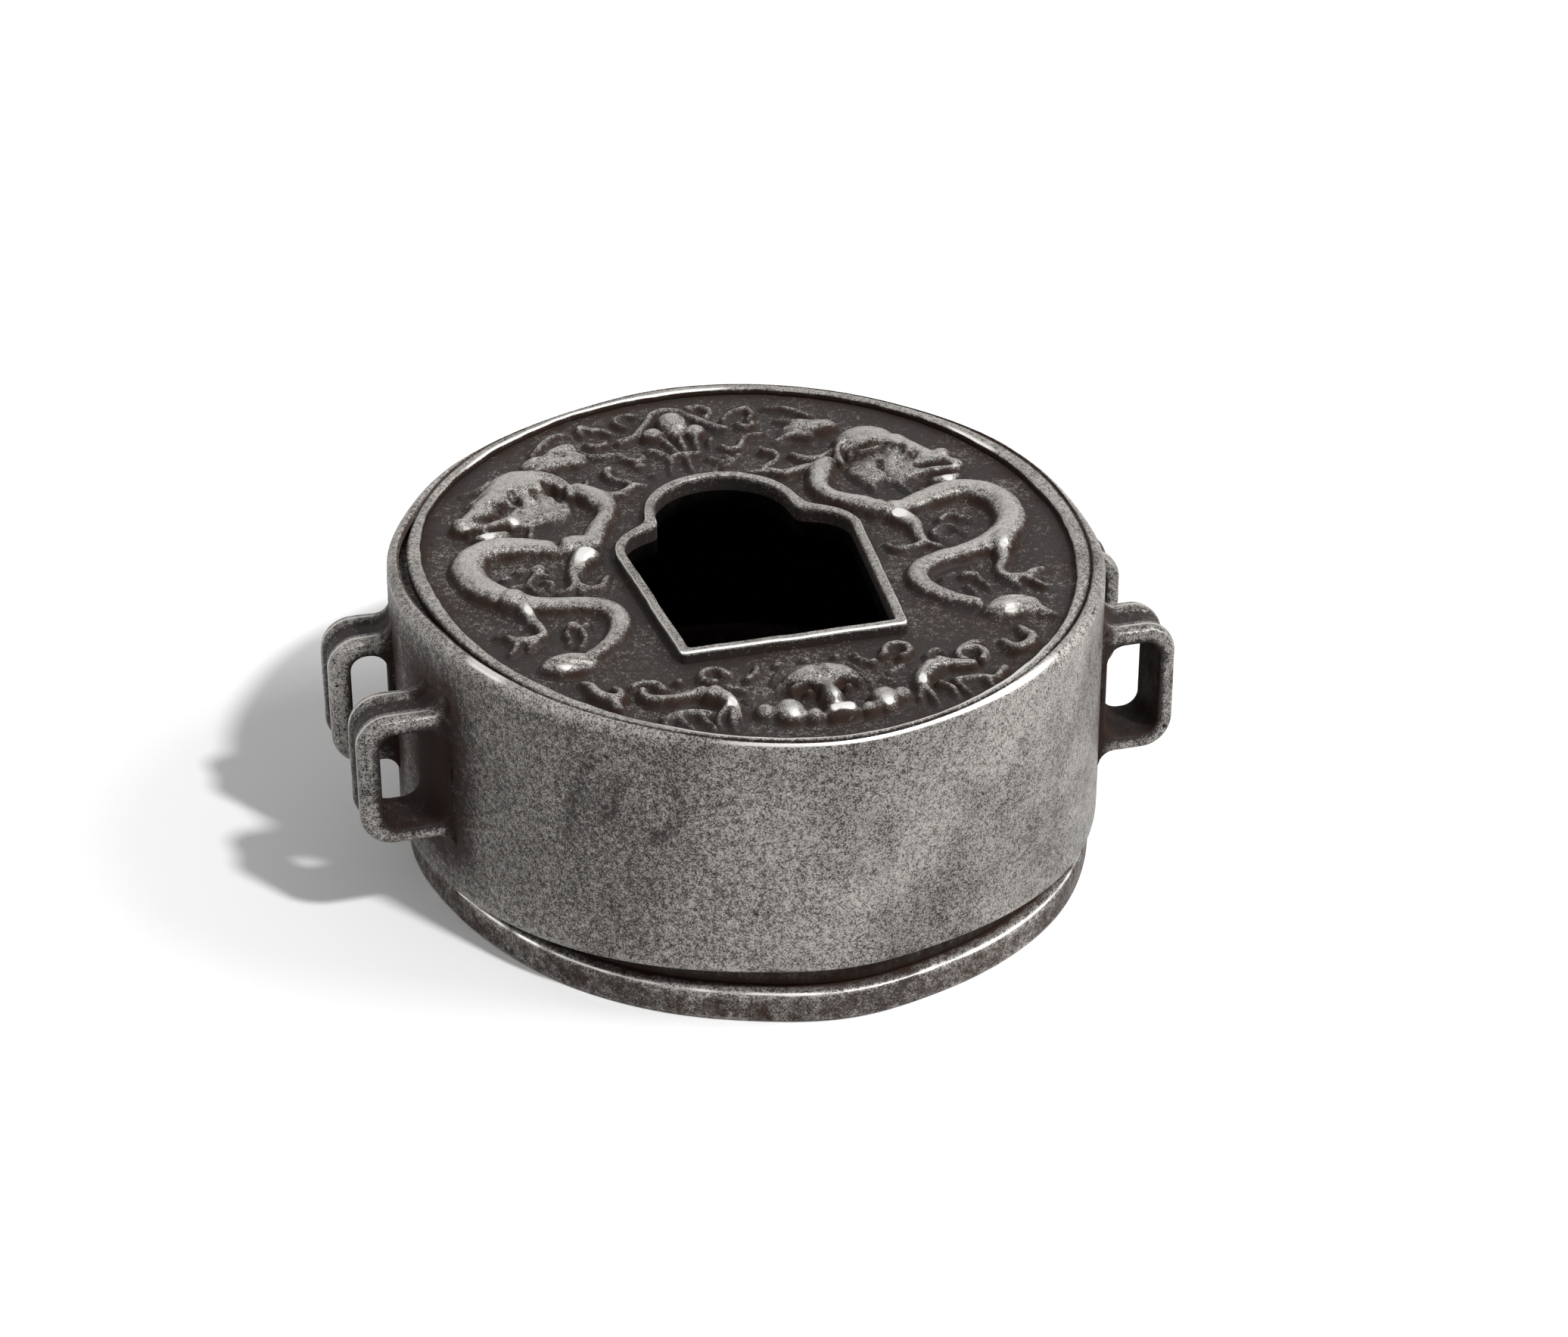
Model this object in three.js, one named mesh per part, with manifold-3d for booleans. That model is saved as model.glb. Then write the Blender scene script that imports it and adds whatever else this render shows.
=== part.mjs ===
// Portable shrine case in forged iron: a round side band with a relief front,
// a trefoil window and four strap loops, lifted off a shallow back cover.
// Millimetres. The case lies on its back cover with its front facing up (+Z),
// the window's arch towards +Y, and the origin under its middle on the floor.

import * as THREE from 'three';
import { mergeVertices } from 'three/addons/utils/BufferGeometryUtils.js';
import Module from 'manifold-3d';

const wasm = await Module();
wasm.setup();

// General sizes
const caseTop = 44;
const wallRadius = 50;
const seatGap = 0.3;
const ringSteps = 80;

// Side band
const wallThickness = 2.3;
const shoulderRadius = 1.2;
const bottomRound = 0.4;
const lowEdgeArch = 3.6;
const lowEdgeArchTurn = -85;

// Hammered by hand, so the band and its border differ all the way round:
// values every 15 degrees from +X, the first being how far the band stands out from wallRadius
const bandOffsets = [
  -2.35, -1.9, -1.05, -0.5, 0.7, 1.65, 1.75, 0.45, -0.1, 0.1, -0.35, -0.3,
  -1.0, -1.9, -1.75, -1.0, -0.2, 0.6, 1.75, 1.0, 0.5, -0.1, -1.0, -1.6,
];
const lipWidths = [
  1.2, 1.0, 1.0, 0.6, 0.5, 0.5, 0.5, 0.5, 0.5, 1.4, 1.7, 1.35,
  1.45, 2.0, 1.9, 1.3, 0.9, 0.4, 0.35, 0.4, 0.9, 1.8, 1.8, 1.7,
];
const grooveWidths = [
  0.3, 0.3, 0.3, 0.3, 0.3, 0.3, 0.3, 0.3, 0.3, 0.3, 0.4, 1.35,
  1.5, 0.6, 0.3, 0.3, 0.3, 0.3, 0.3, 0.3, 0.3, 0.3, 0.3, 0.3,
];
const borderWidths = [
  3.5, 3.5, 3.25, 2.4, 2.1, 2.15, 2.35, 1.65, 2.1, 3.1, 3.3, 4.6,
  5.1, 4.3, 3.8, 3.3, 2.45, 1.4, 1.3, 1.35, 2.4, 3.2, 3.7, 4.0,
];

// Front plate
const groundDrop = 1.2;
const plateThickness = 1.5;
const ringSeatDepth = 0.4;

// Relief on the front plate
const drawnRadius = 50;
const reliefSink = 0.5;
const ridgeStep = 2.4;
const domeSides = 12;

// Window frame
const windowCentreX = -0.75;
const archRadius = 11.1;
const archCentreY = 11.4;
const lobeRadius = 7.4;
const lobeCentreX = 10;
const lobeCentreY = 2.6;
const windowBaseY = -26.2;
const windowBaseHalf = 15.5;
const frameWall = 1.3;
const frameRise = 0.6;
const frameDepth = 4.8;
const frameEdge = 0.3;

// Strap loops
const loopDepth = 8.5;
const loopTop = 34.3;
const loopHeight = 19.4;
const loopBand = 2.4;
const loopCorner = 4.5;
const loopHoleCorner = 2.2;
const loopRibDepth = 2.7;
const loopGroove = 0.5;
const loopFoot = 0.8;
const loopFillet = 2.2;
const leftLegThickness = 3;
const rightLegThickness = 2.4;
const leftStandOff = 8;
const rightFrontStandOff = 5.6;
const rightBackStandOff = 5.1;
const leftFrontY = -16;
const leftBackY = 5.5;
const rightFrontY = -19.5;
const rightBackY = 2;
const strapLoops = [
  { name: 'strap_loop_left_front', side: -1, near: leftFrontY, standOff: leftStandOff, leg: leftLegThickness },
  { name: 'strap_loop_left_back', side: -1, near: leftBackY, standOff: leftStandOff, leg: leftLegThickness },
  { name: 'strap_loop_right_front', side: 1, near: rightFrontY, standOff: rightFrontStandOff, leg: rightLegThickness },
  { name: 'strap_loop_right_back', side: 1, near: rightBackY, standOff: rightBackStandOff, leg: rightLegThickness },
];

// Back cover
const coverRimHeight = 4.8;
const coverRimWidth = 4.2;
const coverRimInset = 0.9;
const coverRimRound = 1.4;
const coverPlateThickness = 1.6;
const flangeTop = 16;
const flangeThickness = 1.4;
const flangeEdge = 0.4;

// How far a cutting shape runs past what it cuts
const cutBeyond = 1;

// Relief ridges, each drawn through [x, y, width, height above the ground]
const reliefRidges = [
  // Left beast: body from the shoulder round to the tail, head, mane, horn, arm, legs and claws
  [[-20.5, 8, 3.6, 1.8], [-25, 7.7, 3.4, 1.6], [-30.5, 9.4, 4.2, 2], [-36.5, 8.4, 4.8, 2.1], [-38.2, 4, 4.8, 2.1],
    [-37.2, -1, 4.6, 2], [-32.5, -6, 3.8, 1.7], [-26, -8, 3.4, 1.5], [-21.9, -10.8, 3.2, 1.5], [-21.6, -14.5, 3.1, 1.5],
    [-23, -17.7, 2.8, 1.4], [-27.3, -21.8, 2.2, 1.2]],
  [[-29, 25.5, 5.5, 2.4], [-31.8, 21.5, 5, 2.2], [-34.5, 18.5, 4.2, 1.9], [-36.8, 17, 3, 1.6]],
  [[-35.5, 15.5, 1.4, 1.6], [-33, 15.8, 1.6, 1.7], [-28.6, 17, 1.4, 1.2]],
  [[-35, 13.5, 1.6, 1.2], [-33.3, 13.2, 2.4, 1.5], [-31.5, 13.8, 2, 1.2]],
  [[-24.5, 28.2, 1.2, 2.6], [-21.8, 27, 1.2, 2.3], [-20.3, 24.5, 1.3, 2], [-20.2, 22, 1.2, 1.4]],
  [[-28, 21, 1.6, 1.7], [-27.5, 18, 1.4, 1.3], [-28, 15.5, 1.2, 0.9]],
  [[-22.6, 36.2, 1, 0.8], [-20.3, 39.2, 1.2, 1.1], [-18.2, 41, 1.2, 1], [-16.8, 41.6, 0.8, 0.7]],
  [[-19.8, 35.6, 1.6, 1.4], [-17.3, 36.6, 2, 1.5], [-16.6, 35.2, 1.2, 1]],
  [[-19.6, 9.6, 3.4, 1.8], [-18.3, 12.5, 3, 1.7], [-16.6, 15, 3, 1.9], [-16, 17.5, 3.2, 1.8], [-16.6, 20, 4, 2],
    [-18, 22.6, 3.2, 1.9], [-18.9, 24.2, 2.2, 1.5]],
  [[-16.3, 21.6, 1.8, 1.5], [-14.2, 21, 1.6, 1.2], [-12.3, 21.5, 1.6, 1.2], [-10.6, 23, 1.4, 1.2]],
  [[-11, 23.3, 1.2, 1.1], [-13, 25.8, 1.1, 1], [-13.6, 27.6, 1.4, 1.2]],
  [[-22.2, 4.8, 3.4, 2], [-23.6, 2.2, 2.8, 1.6], [-24.8, -0.5, 1.8, 1.3], [-24.9, -2.7, 1.6, 1.2]],
  [[-24.6, -3, 1.2, 1], [-23.2, -4, 1.2, 1], [-21.6, -3.6, 1.1, 0.9], [-20.3, -1.2, 0.9, 0.7]],
  [[-33.2, -7.5, 2.4, 1.9], [-32.8, -10.5, 1.8, 1.4], [-32.2, -14.6, 1.6, 1.2], [-34, -15.6, 1.6, 1.2],
    [-36, -15.2, 1.4, 1.1], [-38.2, -13.4, 0.8, 0.7]],
  // Right beast
  [[20.6, 7.4, 3.6, 1.8], [23.6, 6.6, 3.4, 1.7], [29.6, 8.9, 4.2, 2], [33, 9.4, 4.6, 2.1], [36, 7.9, 4.7, 2.1],
    [37.7, 3.4, 4.7, 2.1], [36.8, -2, 4.5, 2], [31.5, -6.6, 3.6, 1.7], [24.2, -8.8, 3.3, 1.5], [20.7, -11.4, 3.2, 1.5],
    [20.3, -15.2, 3, 1.5], [23.2, -19.8, 2.5, 1.3], [25.6, -21.8, 2.2, 1.2]],
  [[28, 25, 5, 2.3], [30.2, 21, 4.6, 2.1], [32.7, 18.2, 3.8, 1.8], [34.7, 17, 2.8, 1.5]],
  [[34.2, 15.6, 1.4, 1.5], [31.8, 15.6, 1.6, 1.6], [29, 16.2, 1.4, 1.2]],
  [[34, 13.6, 1.5, 1.2], [32.4, 13, 2.2, 1.4], [30.8, 13.3, 1.8, 1.1]],
  [[23, 27.5, 1.2, 2.4], [20.6, 26.3, 1.2, 2.2], [19.3, 24, 1.2, 1.9], [19.3, 21.5, 1.1, 1.3]],
  [[26.3, 20.5, 1.6, 1.6], [26, 17.5, 1.4, 1.2], [26.4, 15, 1.1, 0.9]],
  [[13.4, 42.3, 0.8, 0.7], [16.3, 40.8, 1.1, 1], [18.8, 37.8, 1.1, 1]],
  [[12.3, 31.3, 0.9, 0.9], [14.8, 32, 1.5, 1.3], [17.2, 31, 1.7, 1.5]],
  [[19, 8.6, 3.6, 1.9], [17, 10.3, 3.2, 1.8], [15.2, 12.5, 2.9, 1.7], [14.2, 15.3, 3, 1.9], [15, 18, 3.4, 1.9],
    [15.9, 20.5, 3.6, 2], [17.3, 22.6, 2.4, 1.6]],
  [[15.7, 20.9, 1.9, 1.6], [13.7, 21.8, 1.7, 1.3], [10.8, 21, 1.6, 1.2], [8.8, 22.2, 1.4, 1.2]],
  [[8.4, 23.3, 1.2, 1.1], [11, 25.7, 1.1, 1], [11.1, 27.7, 1.1, 1], [9.7, 28.6, 1.4, 1.2]],
  [[22.6, 4.2, 3.2, 1.9], [23.9, 1.8, 2.6, 1.6], [23.8, -1.2, 1.8, 1.3], [23.8, -3.6, 1.6, 1.2]],
  [[23.6, -3.9, 1.3, 1.1], [21.8, -4.4, 1.2, 1], [19.5, -4.2, 1.1, 0.9], [19, -2.4, 0.9, 0.7]],
  [[33.3, -9, 2.4, 1.9], [32.7, -11.5, 1.8, 1.4], [31.5, -15, 1.6, 1.2], [34.2, -16.6, 1.6, 1.2],
    [35.9, -15.5, 1.3, 1.1], [37.3, -15, 0.9, 0.8]],
  // Flame round the jewel at the top
  [[-9.5, 37, 1.1, 0.9], [-6, 39.5, 1.3, 1.1], [-4, 41.2, 1.3, 1.2], [-3.3, 43.3, 1.2, 1.2], [-1.4, 44.6, 1.2, 1.2],
    [0.6, 43.5, 1.2, 1.2], [2.5, 41, 1.3, 1.2], [4.8, 38, 1.2, 1], [6, 37, 1, 0.8]],
  // Mask: nose, brows, arms and the scrolls beside it
  [[0.2, -37, 1.6, 1.8], [0.1, -39.8, 2.2, 2.2], [0, -41.8, 3, 2.6]],
  [[-4.4, -37.8, 1, 1.5], [-2.2, -36.9, 1.4, 2], [-0.6, -37.8, 1, 1.7]],
  [[4.8, -37.9, 1, 1.5], [2.6, -36.9, 1.4, 2], [1, -37.8, 1, 1.7]],
  [[-14.3, -36.5, 2.8, 2.2], [-13.1, -38.5, 2.4, 2.1], [-12.7, -40.3, 2, 1.8]],
  [[-23, -32.5, 1.3, 1.3], [-23, -34.3, 1.5, 1.4], [-21.8, -35.6, 1.7, 1.6], [-19.5, -36, 1.7, 1.6],
    [-15.8, -35.4, 2.2, 1.9]],
  [[-30, -28.2, 0.9, 0.9], [-29.2, -30, 1.6, 1.5], [-29, -32, 2, 1.8], [-27.6, -34.2, 1.9, 1.8],
    [-25.9, -32.7, 1.5, 1.5], [-26.3, -30.6, 1, 1]],
  [[-22, -39.9, 1.2, 1], [-20, -39.3, 1.3, 1.1], [-17.5, -39.5, 1.3, 1.1], [-15.7, -40.3, 1.2, 1]],
  [[14.2, -37.7, 2.8, 2.2], [12.6, -39.6, 2.4, 2.1], [12, -41.3, 2, 1.8]],
  [[20, -37.6, 1.7, 1.5], [17.8, -37, 1.8, 1.6], [16, -36.2, 2.2, 1.9]],
  [[29.2, -29.2, 0.9, 0.9], [29.2, -31.4, 1.6, 1.5], [29.4, -33.6, 1.9, 1.7], [27.5, -35, 1.8, 1.7],
    [25.8, -32.6, 1.2, 1.2]],
  [[16.9, -40.4, 1.2, 1], [19.9, -40.7, 1.3, 1.1], [21.9, -41.4, 1.2, 1.1], [23.7, -39.7, 1.6, 1.3]],
];

// Relief domes, each [x, y, half width, half length, height above the ground]
const reliefDomes = [
  // Left beast: crown, hair, shoulder, thigh and tail tuft
  [-26.3, 26.6, 5.2, 4.4, 2.6], [-21.5, 32.3, 4, 2.6, 2], [-22, 4, 2.2, 2, 2.2], [-34.2, -5.5, 2.4, 2.6, 2.5],
  [-30.5, -23.4, 4.2, 2.8, 1.9],
  // Right beast
  [24.5, 27.2, 5, 4.3, 2.5], [19, 33.5, 3.6, 2, 1.9], [21, 6.4, 2.6, 1.8, 2.1], [34.3, -6.8, 2.4, 2.4, 2.4],
  [30, -24.2, 4.3, 2.9, 1.9],
  // Jewel and the two bulbs under it
  [-1, 39.9, 2.5, 3.2, 2.2], [-4.8, 37, 1.9, 1.9, 1.8], [1.6, 36.6, 1.9, 1.9, 1.8],
  // Mask: forehead, eyes, paws, chin and shoulders
  [0, -35.3, 5.2, 2.4, 2.4], [-2.4, -39, 0.9, 0.7, 1.5], [2.8, -39, 0.9, 0.7, 1.5], [-6, -42.8, 2.2, 2.6, 2.1],
  [6.6, -43, 2.3, 2.8, 2.1], [0.3, -44.8, 3.4, 1.7, 2.3], [-14.5, -36.6, 1.8, 1.6, 2.3], [14.6, -37.6, 1.9, 1.7, 2.3],
];

// Heights that follow from the sizes above
const groundZ = caseTop - groundDrop;
const plateBottom = groundZ - plateThickness;
const ringSeatZ = groundZ - ringSeatDepth;
const lowEdgeZ = coverRimHeight + seatGap;
const frameTop = caseTop + frameRise;

// Iron surfaces: bright wear on the band, loops and raised edges, dark ground in the hollows
const wornIron = { color: 0x8f8e8a, roughness: 0.42, metalness: 1 };
const loopIron = { color: 0x7d7b77, roughness: 0.4, metalness: 1 };
const reliefIron = { color: 0x5d5955, roughness: 0.5, metalness: 1 };
const coverIron = { color: 0x85827c, roughness: 0.45, metalness: 1 };
const rustyIron = { color: 0x4a342a, roughness: 0.7, metalness: 0.6 };

const radians = THREE.MathUtils.degToRad;

// Smooth value a share t of the way from b to c, with a before them and d after
function between(a, b, c, d, t) {
  return b + 0.5 * t * (c - a + t * (2 * a - 5 * b + 4 * c - d + t * (3 * (b - c) + d - a)));
}

// A smooth value round the case, from values given at equal steps of angle
function around(values, angle) {
  const count = values.length;
  const place = ((angle / (2 * Math.PI)) * count + 2 * count) % count;
  const first = Math.floor(place);
  const [a, b, c, d] = [-1, 0, 1, 2].map((k) => values[(first + k + count) % count]);
  return Math.max(between(a, b, c, d, place - first), Math.min(b, c));
}

// Radius of the band's outer face at an angle
function outerRadius(angle) {
  return wallRadius + around(bandOffsets, angle);
}

// Height of the band's lower edge, which arches up at the front
function lowEdge(angle) {
  const facing = Math.max(0, Math.cos(angle - radians(lowEdgeArchTurn)));
  return lowEdgeZ + lowEdgeArch * facing ** 1.5;
}

// Height of the rounded shoulder, a distance inside the outer face
function shoulderZ(inset) {
  const across = Math.max(0, shoulderRadius - inset);
  return caseTop - shoulderRadius + Math.sqrt(shoulderRadius ** 2 - across ** 2);
}

// Arc points [x, y] from one angle to another, in degrees
function arc(cx, cy, radius, from, to, count) {
  return Array.from({ length: count + 1 }, (_, k) => {
    const angle = radians(from + ((to - from) * k) / count);
    return [cx + radius * Math.cos(angle), cy + radius * Math.sin(angle)];
  });
}

// A closed ring round the case; section(angle) gives its outline as [radius, height] points,
// anticlockwise when seen with the radius to the right and the height up
function ringGeometry(section) {
  const positions = [];
  const triangles = [];
  let count = 0;
  for (let i = 0; i < ringSteps; i += 1) {
    const angle = (2 * Math.PI * i) / ringSteps;
    const points = section(angle);
    count = points.length;
    for (const [radius, z] of points) {
      positions.push(radius * Math.cos(angle), radius * Math.sin(angle), z);
    }
  }
  for (let i = 0; i < ringSteps; i += 1) {
    const next = (i + 1) % ringSteps;
    for (let j = 0; j < count; j += 1) {
      const k = (j + 1) % count;
      const [a, b, c, d] = [i * count + j, next * count + j, next * count + k, i * count + k];
      triangles.push(a, b, c, a, c, d);
    }
  }
  const geometry = new THREE.BufferGeometry();
  geometry.setAttribute('position', new THREE.Float32BufferAttribute(positions, 3));
  geometry.setIndex(triangles);
  return geometry;
}

// The case's outline drawn in by a distance, as a flat shape
function caseShape(inset) {
  const points = Array.from({ length: ringSteps }, (_, i) => {
    const angle = (2 * Math.PI * i) / ringSteps;
    const radius = outerRadius(angle) - inset(angle);
    return new THREE.Vector2(radius * Math.cos(angle), radius * Math.sin(angle));
  });
  return new THREE.Shape(points);
}

// A flat shape raised from one height to another, with its edges eased if asked
function raised(shape, bottom, top, edge = 0) {
  const settings = { depth: top - bottom - 2 * edge, bevelEnabled: edge > 0, curveSegments: 12 };
  if (edge > 0) {
    Object.assign(settings, { bevelSize: edge, bevelThickness: edge, bevelOffset: -edge, bevelSegments: 2 });
  }
  return new THREE.ExtrudeGeometry(shape, settings).translate(0, 0, bottom + edge);
}

// Solids for cutting and joining
function solidOf(geometry) {
  geometry.deleteAttribute('normal');
  geometry.deleteAttribute('uv');
  const merged = mergeVertices(geometry, 1e-4);
  const vertProperties = new Float32Array(merged.attributes.position.array);
  const triVerts = new Uint32Array(merged.index.array);
  return new wasm.Manifold(new wasm.Mesh({ numProp: 3, vertProperties, triVerts }));
}

function geometryOf(solid) {
  const { vertProperties, triVerts } = solid.getMesh();
  const geometry = new THREE.BufferGeometry();
  geometry.setAttribute('position', new THREE.BufferAttribute(vertProperties, 3));
  geometry.setIndex(new THREE.BufferAttribute(triVerts, 1));
  return geometry;
}

function piece(name, geometry, look) {
  geometry.computeVertexNormals();
  const mesh = new THREE.Mesh(geometry, new THREE.MeshStandardMaterial(look));
  mesh.name = name;
  return mesh;
}

// Side band: an upright wall with a rounded shoulder, a thin lip round the front
// and a small ledge inside it for the front plate
function sideBand() {
  const ledgeZ = plateBottom - seatGap;
  const section = (angle) => {
    const outer = outerRadius(angle);
    const low = lowEdge(angle);
    const lip = around(lipWidths, angle);
    const shoulder = [0, 0.08, 0.25, 0.55, 1].map((share) => [outer - share * lip, shoulderZ(share * lip)]);
    return [
      [outer - wallThickness, low],
      [outer - bottomRound, low],
      [outer, low + bottomRound],
      ...shoulder,
      [outer - lip, ledgeZ],
      [outer - wallThickness, ledgeZ],
    ];
  };
  return piece('side_band', ringGeometry(section), wornIron);
}

// Border ring: a strip laid in the plate's rebate, wide groove outside it at the left
function borderRing() {
  const bottom = ringSeatZ + seatGap;
  const section = (angle) => {
    const outer = outerRadius(angle);
    const outerInset = around(lipWidths, angle) + around(grooveWidths, angle);
    const innerInset = around(borderWidths, angle);
    const edge = (innerInset - outerInset) * 0.2;
    const top = Math.min(caseTop, shoulderZ(outerInset));
    return [
      [outer - innerInset, bottom],
      [outer - outerInset, bottom],
      [outer - outerInset, top - edge],
      [outer - outerInset - edge, top],
      [outer - innerInset + edge, top],
      [outer - innerInset, top - edge],
    ];
  };
  return piece('border_ring', ringGeometry(section), wornIron);
}

// Window outline: straight base and sides, a side lobe each way and a round arch between cusps
function windowShape(grow) {
  const arch = archRadius + grow;
  const lobe = lobeRadius + grow;
  const apart = Math.hypot(lobeCentreX, archCentreY - lobeCentreY);
  const along = (arch ** 2 - lobe ** 2 + apart ** 2) / (2 * apart);
  const half = Math.sqrt(arch ** 2 - along ** 2);
  const bearing = Math.atan2(lobeCentreY - archCentreY, lobeCentreX);
  const cuspX = along * Math.cos(bearing) - half * Math.sin(bearing);
  const cuspY = archCentreY + along * Math.sin(bearing) + half * Math.cos(bearing);
  const archFrom = THREE.MathUtils.radToDeg(Math.atan2(cuspY - archCentreY, cuspX));
  const lobeTo = THREE.MathUtils.radToDeg(Math.atan2(cuspY - lobeCentreY, cuspX - lobeCentreX));
  const right = [
    [windowBaseHalf + grow, windowBaseY - grow],
    ...arc(lobeCentreX, lobeCentreY, lobe, 0, lobeTo, 7),
    ...arc(0, archCentreY, arch, archFrom, 90, 10).slice(1),
  ];
  const left = right.slice(0, -1).reverse().map(([x, y]) => [-x, y]);
  return new THREE.Shape([...right, ...left].map(([x, y]) => new THREE.Vector2(windowCentreX + x, y)));
}

// Points along a smooth line through hand-placed ones, a step or so apart, with width and height eased
function eased(points) {
  const at = (i) => points[THREE.MathUtils.clamp(i, 0, points.length - 1)];
  const line = [points[0]];
  for (let i = 0; i < points.length - 1; i += 1) {
    const [a, b, c, d] = [at(i - 1), at(i), at(i + 1), at(i + 2)];
    const steps = Math.max(1, Math.round(Math.hypot(c[0] - b[0], c[1] - b[1]) / ridgeStep));
    for (let k = 1; k <= steps; k += 1) {
      line.push(b.map((_, j) => between(a[j], b[j], c[j], d[j], k / steps)));
    }
  }
  return line;
}

// A ridge standing on the ground: a rounded section drawn along the points, narrowing to a tip at each end
function ridge(points) {
  const line = eased(points);
  const headings = line.map((_, i) => {
    const [from, to] = [line[Math.max(i - 1, 0)], line[Math.min(i + 1, line.length - 1)]];
    return new THREE.Vector2(to[0] - from[0], to[1] - from[1]).normalize();
  });
  const tip = (i, way) => {
    const [x, y, width, height] = line.at(i);
    const beyond = way * width * 0.3;
    return [x + headings.at(i).x * beyond, y + headings.at(i).y * beyond, width * 0.5, height * 0.6];
  };
  const rings = [tip(0, -1), ...line, tip(-1, 1)];
  const turns = [headings[0], ...headings, headings.at(-1)];
  const section = [[-1, -reliefSink, 0], [1, -reliefSink, 0], [0.76, 0, 0.65], [0, 0, 1], [-0.76, 0, 0.65]];
  const count = section.length;
  const positions = [];
  const triangles = [];
  rings.forEach(([x, y, width, height], i) => {
    for (const [side, drop, share] of section) {
      const across = (side * width) / 2;
      positions.push(x - turns[i].y * across, y + turns[i].x * across, groundZ + drop + share * height);
    }
  });
  for (let i = 0; i < rings.length - 1; i += 1) {
    for (let j = 0; j < count; j += 1) {
      const k = (j + 1) % count;
      const [a, b, c, d] = [i * count + j, i * count + k, (i + 1) * count + k, (i + 1) * count + j];
      triangles.push(a, b, c, a, c, d);
    }
  }
  const last = (rings.length - 1) * count;
  for (let j = 1; j < count - 1; j += 1) {
    triangles.push(0, j + 1, j, last, last + j, last + j + 1);
  }
  const geometry = new THREE.BufferGeometry();
  geometry.setAttribute('position', new THREE.Float32BufferAttribute(positions, 3));
  geometry.setIndex(triangles);
  return geometry;
}

// A dome standing on the ground, round or oval in plan
function dome([x, y, halfX, halfY, height]) {
  const arch = [0, 0.5, 0.87].map((side) => [Math.sqrt(1 - side ** 2), side * height]).concat([[0, height]]);
  const profile = [[0, -reliefSink], [1, -reliefSink], ...arch].map(([r, z]) => new THREE.Vector2(r, z));
  return new THREE.LatheGeometry(profile, domeSides)
    .scale(halfX, 1, halfY).rotateX(Math.PI / 2).translate(x, y, groundZ);
}

// The front plate: its rim under the border ring, a raised ground inside it, and the relief on the ground
function frontPlate() {
  const edgeInset = (angle) => around(lipWidths, angle) + seatGap;
  const seatInset = (angle) => around(borderWidths, angle) + seatGap;
  const tallest = Math.max(...reliefDomes.map(([, , , , height]) => height));
  const reliefTop = groundZ + tallest + cutBeyond;
  const hole = solidOf(raised(windowShape(seatGap), plateBottom - cutBeyond, reliefTop));
  const base = solidOf(raised(caseShape(edgeInset), plateBottom, ringSeatZ));
  const ground = solidOf(raised(caseShape(seatInset), plateBottom, groundZ));
  const field = solidOf(raised(caseShape(seatInset), plateBottom, reliefTop));
  const spread = wallRadius / drawnRadius;
  const forms = [...reliefRidges.map(ridge), ...reliefDomes.map(dome)];
  const relief = forms.map((form) => solidOf(form.scale(spread, spread, 1))).reduce((a, b) => a.add(b));
  return piece('front_plate', geometryOf(base.add(ground).add(relief.intersect(field)).subtract(hole)), reliefIron);
}

function windowFrame() {
  const shape = windowShape(0);
  shape.holes.push(windowShape(-frameWall));
  return piece('window_frame', raised(shape, frameTop - frameDepth, frameTop, frameEdge), wornIron);
}

// Outline of a strap loop seen along the strap, with flares where its bars meet the band
function loopShape(side, reach, from, shrink) {
  const [u0, u1] = [from, reach - shrink];
  const [low, high] = [loopTop - loopHeight + shrink, loopTop - shrink];
  const corner = loopCorner - shrink / 2;
  const flare = loopFillet - shrink;
  const start = u0 + wallThickness;
  const points = [
    [u0, low - flare], [start, low - flare], [start + flare * 0.35, low - flare * 0.3], [start + flare, low],
    ...arc(u1 - corner, low + corner, corner, -90, 0, 5),
    ...arc(u1 - corner, high - corner, corner, 0, 90, 5),
    [start + flare, high], [start + flare * 0.35, high + flare * 0.3], [start, high + flare], [u0, high + flare],
  ];
  return new THREE.Shape(points.map(([u, z]) => new THREE.Vector2(side * u, z)));
}

function loopHole(side, to, from) {
  const [u0, u1] = [from, to];
  const [low, high] = [loopTop - loopHeight + loopBand, loopTop - loopBand];
  const points = [
    [u0, low],
    ...arc(u1 - loopHoleCorner, low + loopHoleCorner, loopHoleCorner, -90, 0, 4),
    ...arc(u1 - loopHoleCorner, high - loopHoleCorner, loopHoleCorner, 0, 90, 4),
    [u0, high],
  ];
  return new THREE.Shape(points.map(([u, z]) => new THREE.Vector2(side * u, z)));
}

// A shape drawn in X and Z, carried along Y between two faces
function alongY(shape, near, far, edge = 0) {
  return raised(shape, 0, far - near, edge).rotateX(Math.PI / 2).translate(0, far, 0);
}

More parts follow.
